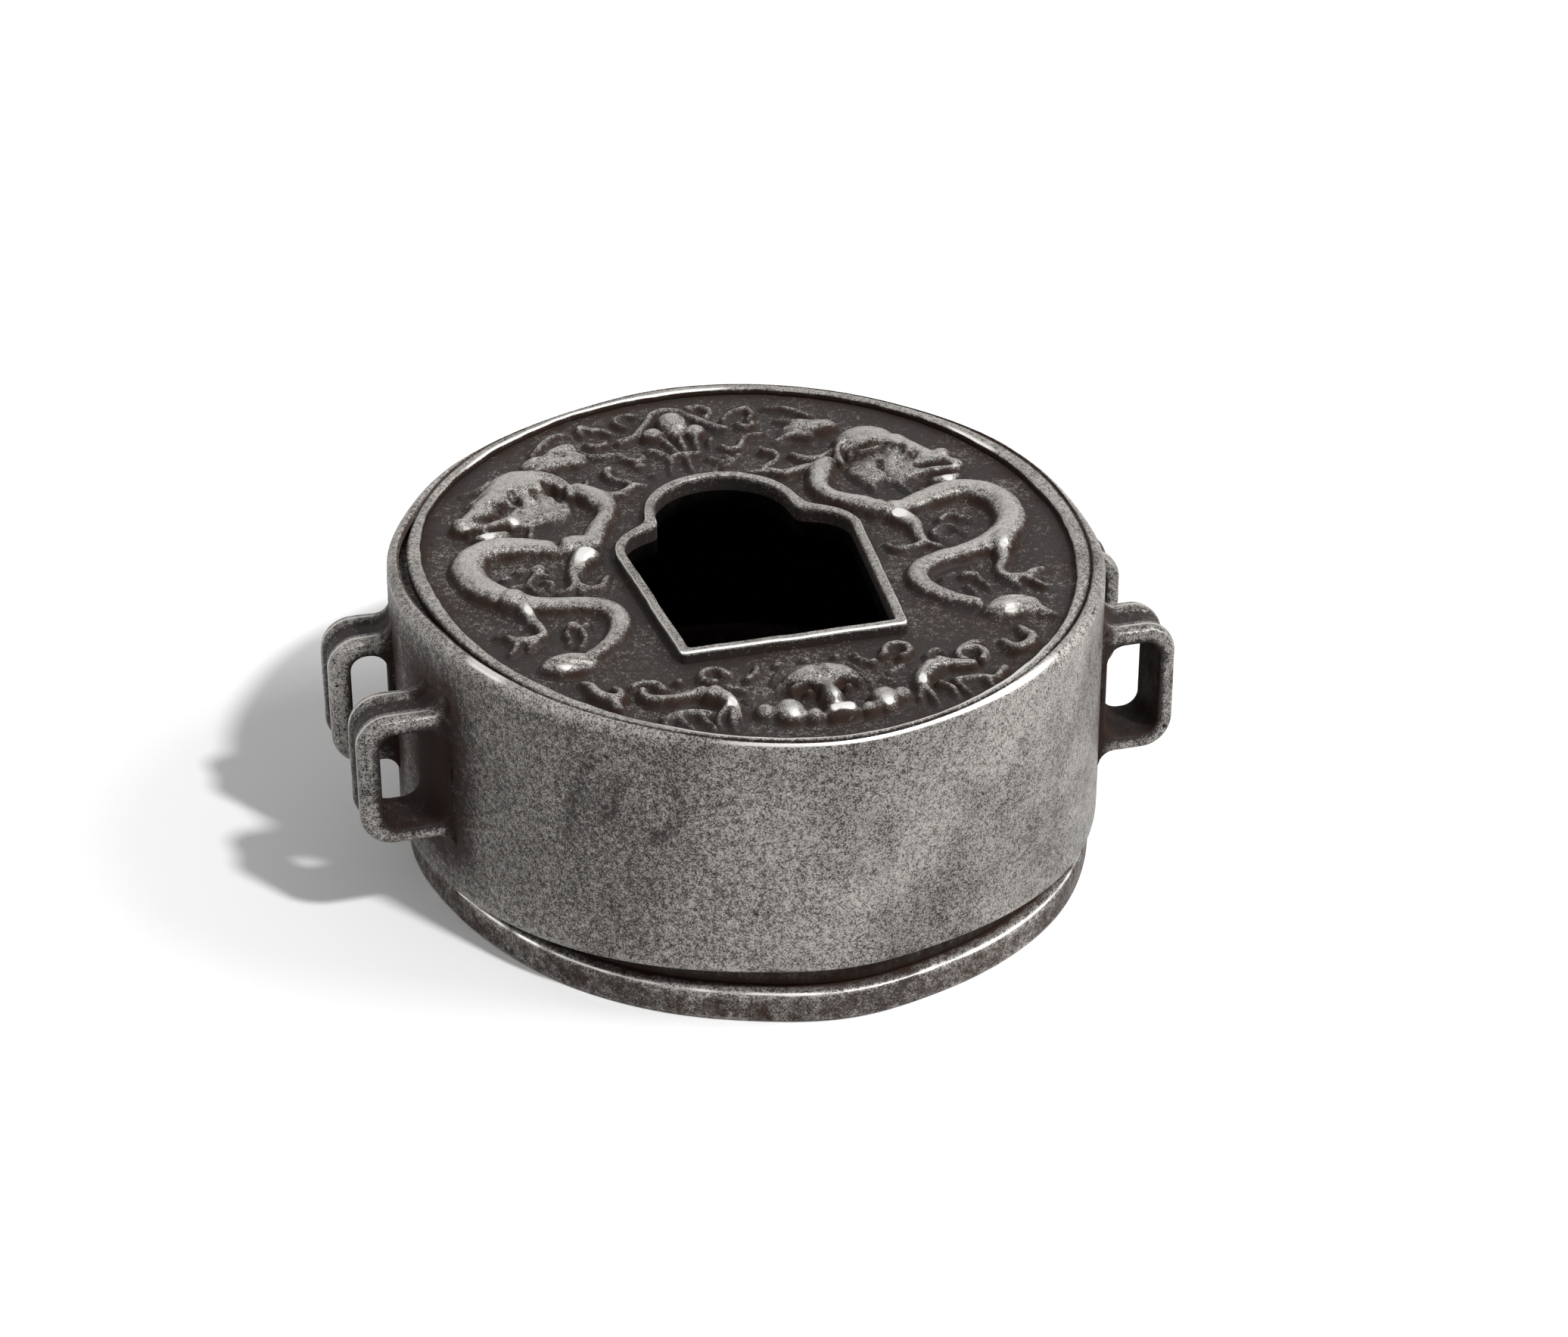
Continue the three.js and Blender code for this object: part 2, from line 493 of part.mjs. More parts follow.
// Strap loop: a grooved band bent round the strap, its foot lying on the side band
function strapLoop({ name, side, near, standOff, leg }) {
  const far = near + loopDepth;
  const reach = wallRadius + standOff;
  const from = outerRadius(side > 0 ? 0 : Math.PI) - wallThickness * 3;
  const outline = (shrink) => loopShape(side, reach, from, shrink);
  const core = solidOf(alongY(outline(loopGroove), near + loopGroove, far - loopGroove));
  const nearRib = solidOf(alongY(outline(0), near, near + loopRibDepth, loopGroove));
  const farRib = solidOf(alongY(outline(0), far - loopRibDepth, far, loopGroove));
  const wall = solidOf(raised(caseShape(() => -seatGap), 0, caseTop));
  const foot = solidOf(raised(caseShape(() => -seatGap - loopFoot), 0, caseTop));
  const slot = alongY(loopHole(side, reach - leg, from), near - cutBeyond, far + cutBeyond);
  const hole = solidOf(slot).subtract(foot);
  const loop = core.add(nearRib).add(farRib).subtract(hole).subtract(wall);
  return piece(name, geometryOf(loop), loopIron);
}

// Back cover: a flat plate in a moulded rim, with an upright flange that the band slides over
function backRim() {
  const section = (angle) => {
    const outer = outerRadius(angle) - coverRimInset;
    const inner = outer - coverRimWidth;
    const topArc = arc(outer - coverRimRound, coverRimHeight - coverRimRound, coverRimRound, 0, 90, 4);
    return [
      [inner, 0],
      [outer - coverRimRound, 0],
      [outer - coverRimRound * 0.4, coverRimRound * 0.2],
      ...topArc,
      [inner, coverRimHeight],
    ];
  };
  return piece('back_rim', ringGeometry(section), coverIron);
}

function backFlange() {
  const bottom = coverRimHeight + seatGap;
  const section = (angle) => {
    const outer = outerRadius(angle) - wallThickness - seatGap;
    const inner = outer - flangeThickness;
    return [
      [inner, bottom],
      [outer, bottom],
      [outer, flangeTop - flangeEdge],
      [outer - flangeEdge, flangeTop],
      [inner, flangeTop],
    ];
  };
  return piece('back_flange', ringGeometry(section), rustyIron);
}

function backPlate() {
  const inset = () => coverRimInset + coverRimWidth + seatGap;
  return piece('back_plate', raised(caseShape(inset), 0, coverPlateThickness), rustyIron);
}

const shrineCase = new THREE.Group();
shrineCase.add(backPlate(), backRim(), backFlange());
shrineCase.add(sideBand(), frontPlate(), borderRing(), windowFrame());
shrineCase.add(...strapLoops.map(strapLoop));

export default shrineCase;
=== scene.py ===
"""Looks of a portable shrine case in forged iron: worn metal, relief front, floor, light and camera."""

import math

import bmesh
import bpy
import numpy as np
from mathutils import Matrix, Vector


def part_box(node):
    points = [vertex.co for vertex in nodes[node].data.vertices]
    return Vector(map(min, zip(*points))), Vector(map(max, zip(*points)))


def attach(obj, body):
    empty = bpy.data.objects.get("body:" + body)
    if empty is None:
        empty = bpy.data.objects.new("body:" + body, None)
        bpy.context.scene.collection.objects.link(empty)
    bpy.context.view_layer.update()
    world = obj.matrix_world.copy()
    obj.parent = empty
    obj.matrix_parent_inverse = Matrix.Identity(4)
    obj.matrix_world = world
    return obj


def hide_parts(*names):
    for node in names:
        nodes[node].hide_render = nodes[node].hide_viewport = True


bl_info = {
    "name": "Iron Shrine Case",
    "version": (1, 1, 0),
    "blender": (4, 5, 0),
    "location": "3D View > Sidebar > Shrine Case",
    "description": "Dresses the forged shrine case and sets its studio",
    "category": "Object",
}

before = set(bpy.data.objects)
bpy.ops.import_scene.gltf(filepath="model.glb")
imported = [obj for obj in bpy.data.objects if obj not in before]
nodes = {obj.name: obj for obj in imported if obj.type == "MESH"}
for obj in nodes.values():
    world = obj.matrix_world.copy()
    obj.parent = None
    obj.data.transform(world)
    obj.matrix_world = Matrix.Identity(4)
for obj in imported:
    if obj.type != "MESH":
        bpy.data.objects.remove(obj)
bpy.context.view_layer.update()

MM = 0.001
CASE_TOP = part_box("border_ring")[1].z / MM
GROUND = CASE_TOP - 1.2
PLATE_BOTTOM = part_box("front_plate")[0].z / MM


# Sizes and colours that a user would change
class ReliefSettings(bpy.types.PropertyGroup):
    height: bpy.props.FloatProperty(
        name="Relief Height", description="Share of the full height that the figures stand to",
        default=1.0, min=0.2, max=1.05)
    cell: bpy.props.FloatProperty(
        name="Carving Cell", description="Mesh step of the carved figures",
        default=0.00013, min=0.0001, max=0.001, subtype="DISTANCE")
    blend: bpy.props.FloatProperty(
        name="Blend", description="How softly forms run into each other and the ground, in millimetres",
        default=0.35, min=0.05, max=1)


class FinishSettings(bpy.types.PropertyGroup):
    bright_iron: bpy.props.FloatVectorProperty(
        name="Bright Iron", description="Worn bare iron", subtype="COLOR", size=3, min=0, max=1,
        default=(0.488, 0.46, 0.43))
    # Pale colour painted as highlight where the bare-metal mask passes 1
    painted_highlight_iron: bpy.props.FloatVectorProperty(
        name="Polished Iron", description="Edges rubbed smooth", subtype="COLOR", size=3, min=0, max=1,
        default=(0.82, 0.80, 0.77))
    dark_iron: bpy.props.FloatVectorProperty(
        name="Dark Iron", description="Patina in hollows", subtype="COLOR", size=3, min=0, max=1,
        default=(0.036, 0.030, 0.028))
    rust: bpy.props.FloatVectorProperty(
        name="Rust", description="Brown rust", subtype="COLOR", size=3, min=0, max=1,
        default=(0.036, 0.018, 0.012))
    # Near-black painted shade for the inside of the case
    soot: bpy.props.FloatVectorProperty(
        name="Painted_Shade", description="Blackened inside of the case", subtype="COLOR", size=3, min=0, max=1,
        default=(0.003, 0.0026, 0.0023))


class StudioSettings(bpy.types.PropertyGroup):
    floor_white: bpy.props.FloatProperty(
        name="Floor White", description="How pale the floor is", default=1.0, min=0, max=1)
    bounce: bpy.props.FloatProperty(
        name="Bounce", description="How much light the floor throws back at the case", default=0.3, min=0, max=1)
    sky: bpy.props.FloatProperty(
        name="Sky", description="Strength of the light from all round", default=0.36, min=0, max=2)
    key: bpy.props.FloatProperty(
        name="Key", description="Strength of the key light", default=2.2, min=0, max=10)
    key_softness: bpy.props.FloatProperty(
        name="Key Softness", description="Width of the key light seen from the case",
        default=math.radians(4.5), min=0, max=1, subtype="ANGLE")
    side: bpy.props.FloatProperty(
        name="Side", description="Strength of the soft light from the right", default=1.7, min=0, max=10)
    back: bpy.props.FloatProperty(
        name="Back", description="Strength of the soft light from behind", default=0.3, min=0, max=10)
    softness: bpy.props.FloatProperty(
        name="Softness", description="Width of the two soft lights seen from the case",
        default=math.radians(30), min=0, max=2, subtype="ANGLE")


# Carved figures, in millimetres on the front plate. A line is drawn through (x, y, width, height) points,
# a dome is (x, y, half width, half length, height) and a cut is a line sunk by its height.
LEFT_DRAGON = {
    "lines": [
        # Body from the shoulder round to the tail
        [(-20.5, 8, 3.6, 1.8), (-23, 8.2, 3.8, 1.9), (-25, 7.7, 3.4, 1.6), (-27.5, 8.5, 3.8, 1.8),
         (-30.5, 9.4, 4.2, 2), (-33.5, 9.8, 4.6, 2.1), (-36.5, 8.4, 4.8, 2.1), (-38.2, 5.5, 4.8, 2.1),
         (-38.2, 2, 4.6, 2), (-37.2, -1, 4.6, 2), (-35.3, -3.8, 4.4, 1.9), (-32.5, -6, 3.6, 1.7),
         (-29.5, -7.3, 3.4, 1.6), (-26, -8, 3.4, 1.5), (-23, -9.2, 3.3, 1.5), (-21.6, -11.5, 3.2, 1.5),
         (-21.6, -14.5, 3.1, 1.5), (-23, -17.7, 2.8, 1.4), (-25.3, -20.3, 2.4, 1.3), (-27.3, -21.8, 2.2, 1.2)],
        # Forehead and snout
        [(-29, 25.5, 5.5, 2.4), (-31.8, 21.5, 5, 2.2), (-34.5, 18.5, 4.2, 1.9), (-36.8, 17, 3, 1.6)],
        # Lips and jaw
        [(-36.6, 16, 1.2, 1.3), (-35.5, 15.5, 1.4, 1.6), (-33, 15.8, 1.6, 1.7), (-30.5, 16.6, 1.6, 1.6),
         (-28.6, 17, 1.4, 1.2)],
        [(-35, 13.5, 1.6, 1.2), (-33.3, 13.2, 2.4, 1.5), (-31.5, 13.8, 2, 1.2)],
        # Brows
        [(-24.5, 28.2, 1.2, 2.6), (-21.8, 27, 1.2, 2.3), (-20.3, 24.5, 1.3, 2), (-20.2, 22, 1.2, 1.4)],
        [(-24.5, 26.8, 1, 2.6), (-22.4, 26, 1, 2.3), (-21.3, 24, 1, 1.8)],
        # Mane, whiskers and side strands
        [(-28, 21, 1.6, 1.7), (-27.5, 18, 1.4, 1.3), (-28, 15.5, 1.2, 0.9)],
        [(-24.8, 21.5, 1.4, 1.5), (-24.4, 18.6, 1.2, 1.1), (-25, 16.5, 0.9, 0.7)],
        [(-26.9, 16.5, 1, 1), (-27.5, 14, 0.9, 0.9), (-28.2, 11.7, 0.8, 0.8)],
        [(-34.6, 27.2, 0.8, 0.7), (-32, 27.8, 0.9, 1), (-30.5, 28.8, 1, 1.4)],
        [(-34.6, 23.6, 0.8, 0.7), (-32.8, 24.8, 1, 1.1), (-31.6, 26, 1, 1.4)],
        # Hair and horn
        [(-19.8, 35.6, 1.6, 1.4), (-17.3, 36.6, 2, 1.5), (-16.6, 35.2, 1.2, 1)],
        [(-19.5, 32.6, 1.8, 1.6), (-17.5, 31.6, 1.6, 1.4), (-15.6, 32, 1, 0.9)],
        [(-22.6, 36.2, 1, 0.8), (-20.3, 39.2, 1.2, 1.1), (-18.2, 41, 1.2, 1), (-16.8, 41.6, 0.8, 0.7)],
        # Arm and its claws
        [(-19.6, 9.6, 3.4, 1.8), (-18.3, 12.5, 3, 1.7), (-16.6, 15, 3, 1.9), (-16, 17.5, 3.2, 1.8),
         (-16.6, 20, 4, 2), (-18, 22.6, 3.2, 1.9), (-18.9, 24.2, 2.2, 1.5)],
        [(-16.3, 21.6, 1.8, 1.5), (-14.2, 21, 1.6, 1.2), (-12.3, 21.5, 1.6, 1.2), (-10.6, 23, 1.4, 1.2),
         (-9, 22.8, 1, 0.8)],
        [(-11, 23.3, 1.2, 1.1), (-11.6, 24.8, 1.1, 1), (-13, 25.8, 1.1, 1), (-13.6, 27.6, 1.4, 1.2),
         (-13.2, 28.7, 1.6, 1.2)],
        [(-18.6, 24.2, 1.4, 1.3), (-17.2, 25, 1, 1), (-16.7, 26.6, 0.9, 0.8)],
        # Foreleg and toes
        [(-22.2, 4.8, 3.4, 2), (-23.6, 2.2, 2.8, 1.6), (-24.8, -0.5, 1.8, 1.3), (-24.9, -2.7, 1.6, 1.2)],
        [(-24.9, -2.6, 1.2, 1), (-26.2, -3.6, 1, 0.9), (-27.7, -4.2, 0.8, 0.7)],
        [(-24.6, -3, 1.2, 1), (-23.2, -4, 1.2, 1), (-21.6, -3.6, 1.1, 0.9), (-20.8, -2, 1, 0.8),
         (-20.3, -1.2, 0.9, 0.7)],
        [(-24.7, -3, 1, 0.9), (-24.4, -4.8, 0.8, 0.7)],
        # Hind leg and claws
        [(-33.2, -7.5, 2.4, 1.9), (-32.8, -10.5, 1.8, 1.4), (-32.2, -13, 1.5, 1.2), (-32.2, -15, 1.6, 1.2),
         (-34, -15.6, 1.6, 1.2), (-36, -15.2, 1.4, 1.1), (-37, -13.9, 1, 0.9), (-38.2, -13.4, 0.8, 0.7)],
        [(-35.8, -15.6, 1.2, 1), (-36.4, -17.2, 1, 0.9), (-37.3, -18.3, 0.8, 0.7)],
        [(-33.5, -16, 1.2, 1), (-34.6, -17.4, 0.9, 0.8)],
    ],
    "domes": [(-26.3, 26.6, 5.2, 4.4, 2.6), (-36.8, 17.4, 1.5, 1.2, 2), (-33.8, 14.4, 0.7, 0.7, 1.8),
              (-36.2, 15.2, 0.7, 0.7, 1.6), (-21.5, 32.3, 4, 2.6, 2), (-16.2, 15.3, 1.3, 1.3, 2.2),
              (-34.2, -5.5, 2.4, 2.6, 2.5), (-22, 4, 2.2, 2, 2.2), (-30.5, -23.4, 4.2, 2.8, 1.9),
              (-30.2, 20.6, 1.1, 1, 2.6), (-32.6, 20.8, 2.6, 2.2, 2.5)],
    "tousled": [(-28.2, 19.6, 6.2, 5, 1.7), (-23.8, 19.4, 3.4, 4.4, 1.4), (-18.8, 33.6, 4, 2.8, 1.4)],
    # Painted highlights: (x, y, radius) spots brightened where the lights glint on the forms
    "painted_highlight": [(-22, 3.2, 1.5), (-35.8, -8.6, 0.7), (-32.8, -9.3, 0.8), (-36.6, 15.2, 0.7), (-34, 12.8, 0.9),
               (-29.5, 15.8, 0.6), (-31.5, -25.6, 0.9)],
    "cuts": [[(-28.4, 23.6, 1, 0.7), (-28, 21.4, 1, 0.9), (-27.6, 19.6, 0.8, 0.5)],
             [(-23.2, 24.8, 1, 0.9), (-22.2, 23, 1, 0.9), (-22, 21, 0.9, 0.6)],
             [(-25.4, 23.4, 0.9, 0.6), (-25, 20.8, 0.8, 0.5)],
             [(-34.6, 17.4, 0.9, 0.8), (-32.4, 17.7, 1, 1), (-30.4, 18.2, 0.9, 0.8)],
             [(-35.6, 14.5, 0.8, 0.6), (-33, 14.6, 0.9, 0.7), (-30.6, 15, 0.8, 0.6)],
             [(-25.2, 10.4, 0.8, 0.5), (-25, 8.6, 0.9, 0.8), (-24.9, 6.6, 0.8, 0.5)],
             [(-31.9, 20.9, 0.8, 0.7), (-30.6, 19, 0.8, 0.8), (-28.8, 20.2, 0.8, 0.7)],
             [(-24, 30.9, 0.8, 0.4), (-20.6, 32.8, 0.8, 0.5), (-18.4, 33.6, 0.6, 0.4)],
             [(-23, 32.6, 0.7, 0.4), (-21, 34, 0.7, 0.4)],
             [(-31, -22.6, 0.7, 0.35), (-29, -23.4, 0.7, 0.35), (-27, -23.2, 0.6, 0.3)],
             [(-33.5, -23.5, 0.6, 0.3), (-31, -24.4, 0.7, 0.35), (-28, -24.6, 0.7, 0.35)]],
}

RIGHT_DRAGON = {
    "lines": [
        [(20.6, 7.4, 3.6, 1.8), (23.6, 6.6, 3.4, 1.7), (26.3, 7.6, 3.8, 1.8), (29.6, 8.9, 4.2, 2),
         (33, 9.4, 4.6, 2.1), (36, 7.9, 4.7, 2.1), (37.6, 4.8, 4.7, 2.1), (37.7, 1.2, 4.6, 2),
         (36.8, -2, 4.5, 2), (34.6, -4.6, 4.3, 1.9), (31.5, -6.6, 3.6, 1.7), (28, -8, 3.4, 1.6),
         (24.2, -8.8, 3.3, 1.5), (21.2, -10.6, 3.2, 1.5), (20.1, -13.6, 3.1, 1.5), (20.9, -16.8, 2.9, 1.4),
         (23.2, -19.8, 2.5, 1.3), (25.6, -21.8, 2.2, 1.2)],
        [(28, 25, 5, 2.3), (30.2, 21, 4.6, 2.1), (32.7, 18.2, 3.8, 1.8), (34.7, 17, 2.8, 1.5)],
        [(34.2, 15.6, 1.4, 1.5), (31.8, 15.6, 1.6, 1.6), (29, 16.2, 1.4, 1.2)],
        [(34, 13.6, 1.5, 1.2), (32.4, 13, 2.2, 1.4), (30.8, 13.3, 1.8, 1.1)],
        [(23, 27.5, 1.2, 2.4), (20.6, 26.3, 1.2, 2.2), (19.3, 24, 1.2, 1.9), (19.3, 21.5, 1.1, 1.3)],
        [(21.1, 23.5, 1.1, 1.7), (23.6, 23, 1.1, 2), (26.6, 23.4, 1.1, 2.3)],
        [(26.3, 20.5, 1.6, 1.6), (26, 17.5, 1.4, 1.2), (26.4, 15, 1.1, 0.9)],
        [(22.2, 17.8, 1.4, 1.2), (21.8, 13.8, 1.1, 0.9)],
        [(25.5, 14.8, 0.9, 0.8), (26.5, 11.6, 0.8, 0.7)],
        [(12.3, 31.3, 0.9, 0.9), (14.8, 32, 1.5, 1.3), (17.2, 31, 1.7, 1.5)],
        [(14.1, 37.8, 0.9, 0.8), (17.2, 36, 1.2, 1.1)],
        [(13.4, 42.3, 0.8, 0.7), (16.3, 40.8, 1.1, 1), (18.8, 37.8, 1.1, 1)],
        [(13.3, 26.4, 1.2, 1.1), (14.8, 24.6, 1.2, 1.1), (17.2, 24.4, 1.2, 1.2), (19, 25.8, 1.1, 1.2)],
        [(9.7, 28.6, 1.4, 1.2), (11.1, 27.7, 1.1, 1), (11, 25.7, 1.1, 1), (9.4, 24.4, 1.1, 1),
         (8.4, 23.3, 1.2, 1.1)],
        [(6, 22.8, 0.9, 0.8), (8.8, 22.2, 1.4, 1.2), (10.8, 21, 1.6, 1.2), (13.7, 21.8, 1.7, 1.3),
         (15.7, 20.9, 1.9, 1.6)],
        [(17.3, 22.6, 2.4, 1.6), (15.9, 20.5, 3.6, 2), (15, 18, 3.4, 1.9), (14.2, 15.3, 3, 1.9),
         (15.2, 12.5, 2.9, 1.7), (17, 10.3, 3.2, 1.8), (19, 8.6, 3.6, 1.9)],
        [(22.6, 4.2, 3.2, 1.9), (23.9, 1.8, 2.6, 1.6), (23.8, -1.2, 1.8, 1.3), (23.8, -3.6, 1.6, 1.2)],
        [(23.6, -3.9, 1.3, 1.1), (21.8, -4.4, 1.2, 1), (19.5, -4.2, 1.1, 0.9), (19, -2.4, 0.9, 0.7)],
        [(24.3, -4, 1.2, 1), (25.9, -5.2, 1, 0.8)],
        [(33.3, -9, 2.4, 1.9), (32.7, -11.5, 1.8, 1.4), (31.4, -14, 1.5, 1.2), (31.8, -16, 1.6, 1.2),
         (34.2, -16.6, 1.6, 1.2), (35.9, -15.5, 1.3, 1.1), (37.3, -15, 0.9, 0.8)],
        [(31.9, -16.6, 1.2, 1), (32.8, -18.6, 0.9, 0.8)],
        [(34.9, -17.6, 1.2, 1), (35.9, -19.6, 1, 0.9), (37.4, -19.6, 0.8, 0.7)],
        [(33, -25.5, 2, 1.2), (35, -27.5, 1, 0.8)],
    ],
    "domes": [(24.5, 27.2, 5, 4.3, 2.5), (32.9, 17.7, 1.4, 1.2, 1.9), (28.3, 20.2, 1.1, 1, 2.5),
              (19, 33.5, 3.6, 2, 1.9), (21, 6.4, 2.6, 1.8, 2.1), (34.3, -6.8, 2.4, 2.4, 2.4),
              (30, -24.2, 4.3, 2.9, 1.9), (28.2, 11.6, 0.7, 0.6, 0.8), (33.4, 19.4, 1.9, 1.7, 2.3)],
    "tousled": [(26.6, 19, 5.6, 4.8, 1.6), (22.2, 18.6, 2.8, 4.2, 1.3), (17.4, 34, 4, 2.6, 1.4)],
    # Painted highlights: (x, y, radius) spots brightened where the lights glint on the forms
    "painted_highlight": [(22, 3.6, 1.2), (34, -9, 0.9), (34.6, 15.4, 0.7), (32.4, 12.6, 0.8), (29, -26, 0.9)],
    "cuts": [[(20.6, 23.2, 0.9, 0.7), (23, 24.1, 1, 0.9), (26.4, 23.8, 0.9, 0.8), (27.6, 22, 0.8, 0.6)],
             [(24.6, 21, 0.9, 0.7), (24.2, 18.4, 0.9, 0.7), (24.6, 16.4, 0.8, 0.5)],
             [(28.2, 22.6, 0.9, 0.8), (28, 19.8, 0.9, 0.7)],
             [(29.2, 17.4, 0.9, 0.8), (31.4, 16.9, 1, 1), (33.6, 16.7, 0.9, 0.8)],
             [(30, 14.6, 0.8, 0.6), (32.2, 14.3, 0.9, 0.7), (34.2, 14.6, 0.8, 0.6)],
             [(26.7, -25.6, 0.7, 0.35), (30.7, -25.6, 0.7, 0.35)],
             [(27, -23, 0.6, 0.3), (30, -23.4, 0.7, 0.35), (33, -22.8, 0.6, 0.3)],
             [(29.9, 20.3, 0.8, 0.7), (28.4, 18.7, 0.8, 0.8), (26.9, 19.9, 0.8, 0.6)],
             [(16.4, 33.9, 0.6, 0.4), (19.4, 34.3, 0.7, 0.4), (22, 33.6, 0.6, 0.3)],
             [(21.9, 8.6, 0.7, 0.4), (21.8, 5.4, 0.7, 0.4)]],
}

JEWEL = {
    "lines": [
        [(-9.5, 37, 1.3, 1), (-7.5, 37.6, 1.2, 1), (-6, 39.5, 1.3, 1.1), (-4.4, 41.6, 1.3, 1.2),
         (-3.3, 43.6, 1.2, 1.2), (-1.4, 44.6, 1.2, 1.2), (0.6, 43.9, 1.2, 1.2), (2.2, 41.7, 1.3, 1.2),
         (3.8, 39.8, 1.3, 1.1), (4.9, 38, 1.3, 1), (6.2, 37, 1.3, 1)],
        [(-6, 33.4, 1.1, 0.9), (-5, 32.2, 1.3, 1), (-4, 31.2, 1.1, 0.8)],
        [(-3.2, 35.4, 1, 1), (-2.6, 33.4, 0.9, 0.8), (-2.2, 31.8, 0.7, 0.6)],
        [(-1, 35.6, 1.1, 1.2), (-0.9, 33.6, 1, 0.9), (-1, 31.8, 0.8, 0.7)],
        [(1.2, 35.2, 1, 1), (1, 33.4, 0.9, 0.7), (0.8, 32, 0.7, 0.6)],
        [(3.4, 34.6, 1, 0.9), (2.8, 32.8, 0.8, 0.7)],
        [(-3.9, 29.8, 1, 0.8), (-2.6, 30.7, 1.2, 1), (-0.9, 30.6, 1.2, 1), (0.8, 30.6, 1, 0.8)],
        [(-3.6, 29.6, 1, 0.8), (-4.1, 27.8, 0.9, 0.7), (-4.5, 26.2, 0.8, 0.6)],
        [(-1.2, 30, 1, 0.8), (-1.4, 28, 0.9, 0.7), (-1.4, 26.2, 0.8, 0.6)],
    ],
    "domes": [(-1, 39.9, 2.5, 3.2, 2.2), (-4.6, 37, 1.9, 1.9, 1.8), (1.6, 36.6, 1.9, 1.9, 1.8),
              (-1.4, 36.8, 1.4, 1.5, 1.6)],
    "cuts": [],
}

MASK = {
    "lines": [
        # Nose and brows
        [(0.2, -37, 1.6, 1.8), (0.1, -39.8, 2.2, 2.2), (0, -41.8, 3, 2.6)],
        [(-4.4, -37.8, 1, 1.5), (-2.2, -36.9, 1.4, 2), (-0.6, -37.8, 1, 1.7)],
        [(4.8, -37.9, 1, 1.5), (2.6, -36.9, 1.4, 2), (1, -37.8, 1, 1.7)],
        # Hairline and cheeks
        [(-6, -34.6, 0.7, 0.5), (-4.4, -32.2, 0.8, 0.6), (0, -31.5, 0.8, 0.7), (4.4, -32.2, 0.8, 0.6),
         (6, -34.6, 0.7, 0.5)],
        [(5.2, -35.4, 0.8, 0.8), (6.2, -37.2, 0.8, 0.8), (6.1, -39, 0.7, 0.6)],
        [(-5.4, -35.4, 0.8, 0.7), (-6.2, -37, 0.8, 0.7)],
        [(-10.4, -37.7, 0.8, 0.7), (-8.6, -37.5, 0.8, 0.7), (-7, -36.8, 0.7, 0.6)],
        [(8, -37.3, 0.8, 0.7), (9.5, -38.3, 0.8, 0.7)],
        # Left arm from its curl to the shoulder, forearm and claws
        [(-24, -30.6, 1, 0.9), (-22.6, -30.7, 1.2, 1.1), (-21, -31.3, 1.3, 1.3), (-20.3, -33, 1.3, 1.3)],
        [(-23, -32.5, 1.3, 1.3), (-23, -34.3, 1.5, 1.4), (-21.8, -35.6, 1.7, 1.6), (-19.5, -36, 1.7, 1.6),
         (-17.3, -35.6, 1.7, 1.6), (-15.8, -35.4, 2.2, 1.9)],
        [(-14.3, -36.5, 2.8, 2.2), (-13.1, -38.5, 2.4, 2.1), (-12.7, -40.3, 2, 1.8)],
        [(-13, -40.5, 1.1, 1.4), (-13.6, -42.5, 0.9, 1), (-13.7, -44, 0.7, 0.7)],
        [(-12.4, -41, 1.1, 1.4), (-12.6, -43, 0.8, 0.9)],
        [(-13.7, -39.8, 1.1, 1.4), (-15, -41.2, 0.9, 1), (-15.4, -43, 0.7, 0.7)],
        # Right arm
        [(23.4, -31.8, 0.9, 0.8), (21.4, -32, 1.2, 1), (19.4, -33.6, 1.3, 1.2)],
        [(20, -37.6, 1.7, 1.5), (17.8, -37, 1.8, 1.6), (16, -36.2, 2.2, 1.9)],
        [(14.2, -37.7, 2.8, 2.2), (12.6, -39.6, 2.4, 2.1), (12, -41.3, 2, 1.8)],
        [(12.4, -41.8, 1.1, 1.4), (12.9, -43.8, 0.9, 1), (13, -45.2, 0.7, 0.7)],
        [(14.5, -41, 1.1, 1.3), (15.9, -42.2, 0.9, 1), (16, -43.8, 0.7, 0.7)],
        [(11.6, -41.6, 1, 1.3), (11.2, -43.4, 0.8, 0.9)],
    ],
    "domes": [(0, -35.3, 5.2, 2.4, 2.4), (-2.4, -39, 0.9, 0.7, 1.5), (2.8, -39, 0.9, 0.7, 1.5),
              (-6, -42.8, 2.3, 2.8, 2.1), (6.6, -43, 2.3, 2.8, 2.1), (0.3, -44.8, 3.4, 1.7, 2.3),
              (-8.9, -41.6, 1.6, 2, 1.3), (9.2, -42, 1.5, 1.9, 1.3), (-3.2, -44.6, 1.5, 1.6, 1.7),
              (3.9, -44.8, 1.5, 1.6, 1.7), (-14.5, -36.6, 1.8, 1.6, 2.3), (14.6, -37.6, 1.9, 1.7, 2.3)],
    # Painted highlights: (x, y, radius) spots brightened where the lights glint on the forms
    "painted_highlight": [(-1.4, -46, 1.3), (1.4, -46, 1.3), (-6, -45.2, 1.1), (6.4, -45.4, 1.1), (0, -43, 0.8),
               (-13, -40, 0.8), (12.4, -41, 0.8)],
    "cuts": [[(0, -33.6, 0.8, 0.35), (0.1, -36, 0.9, 0.5)],
             [(-2, -43.6, 0.8, 0.7), (-1.9, -46, 0.8, 0.5)],
             [(2.6, -43.6, 0.8, 0.7), (2.5, -46, 0.8, 0.5)]],
}

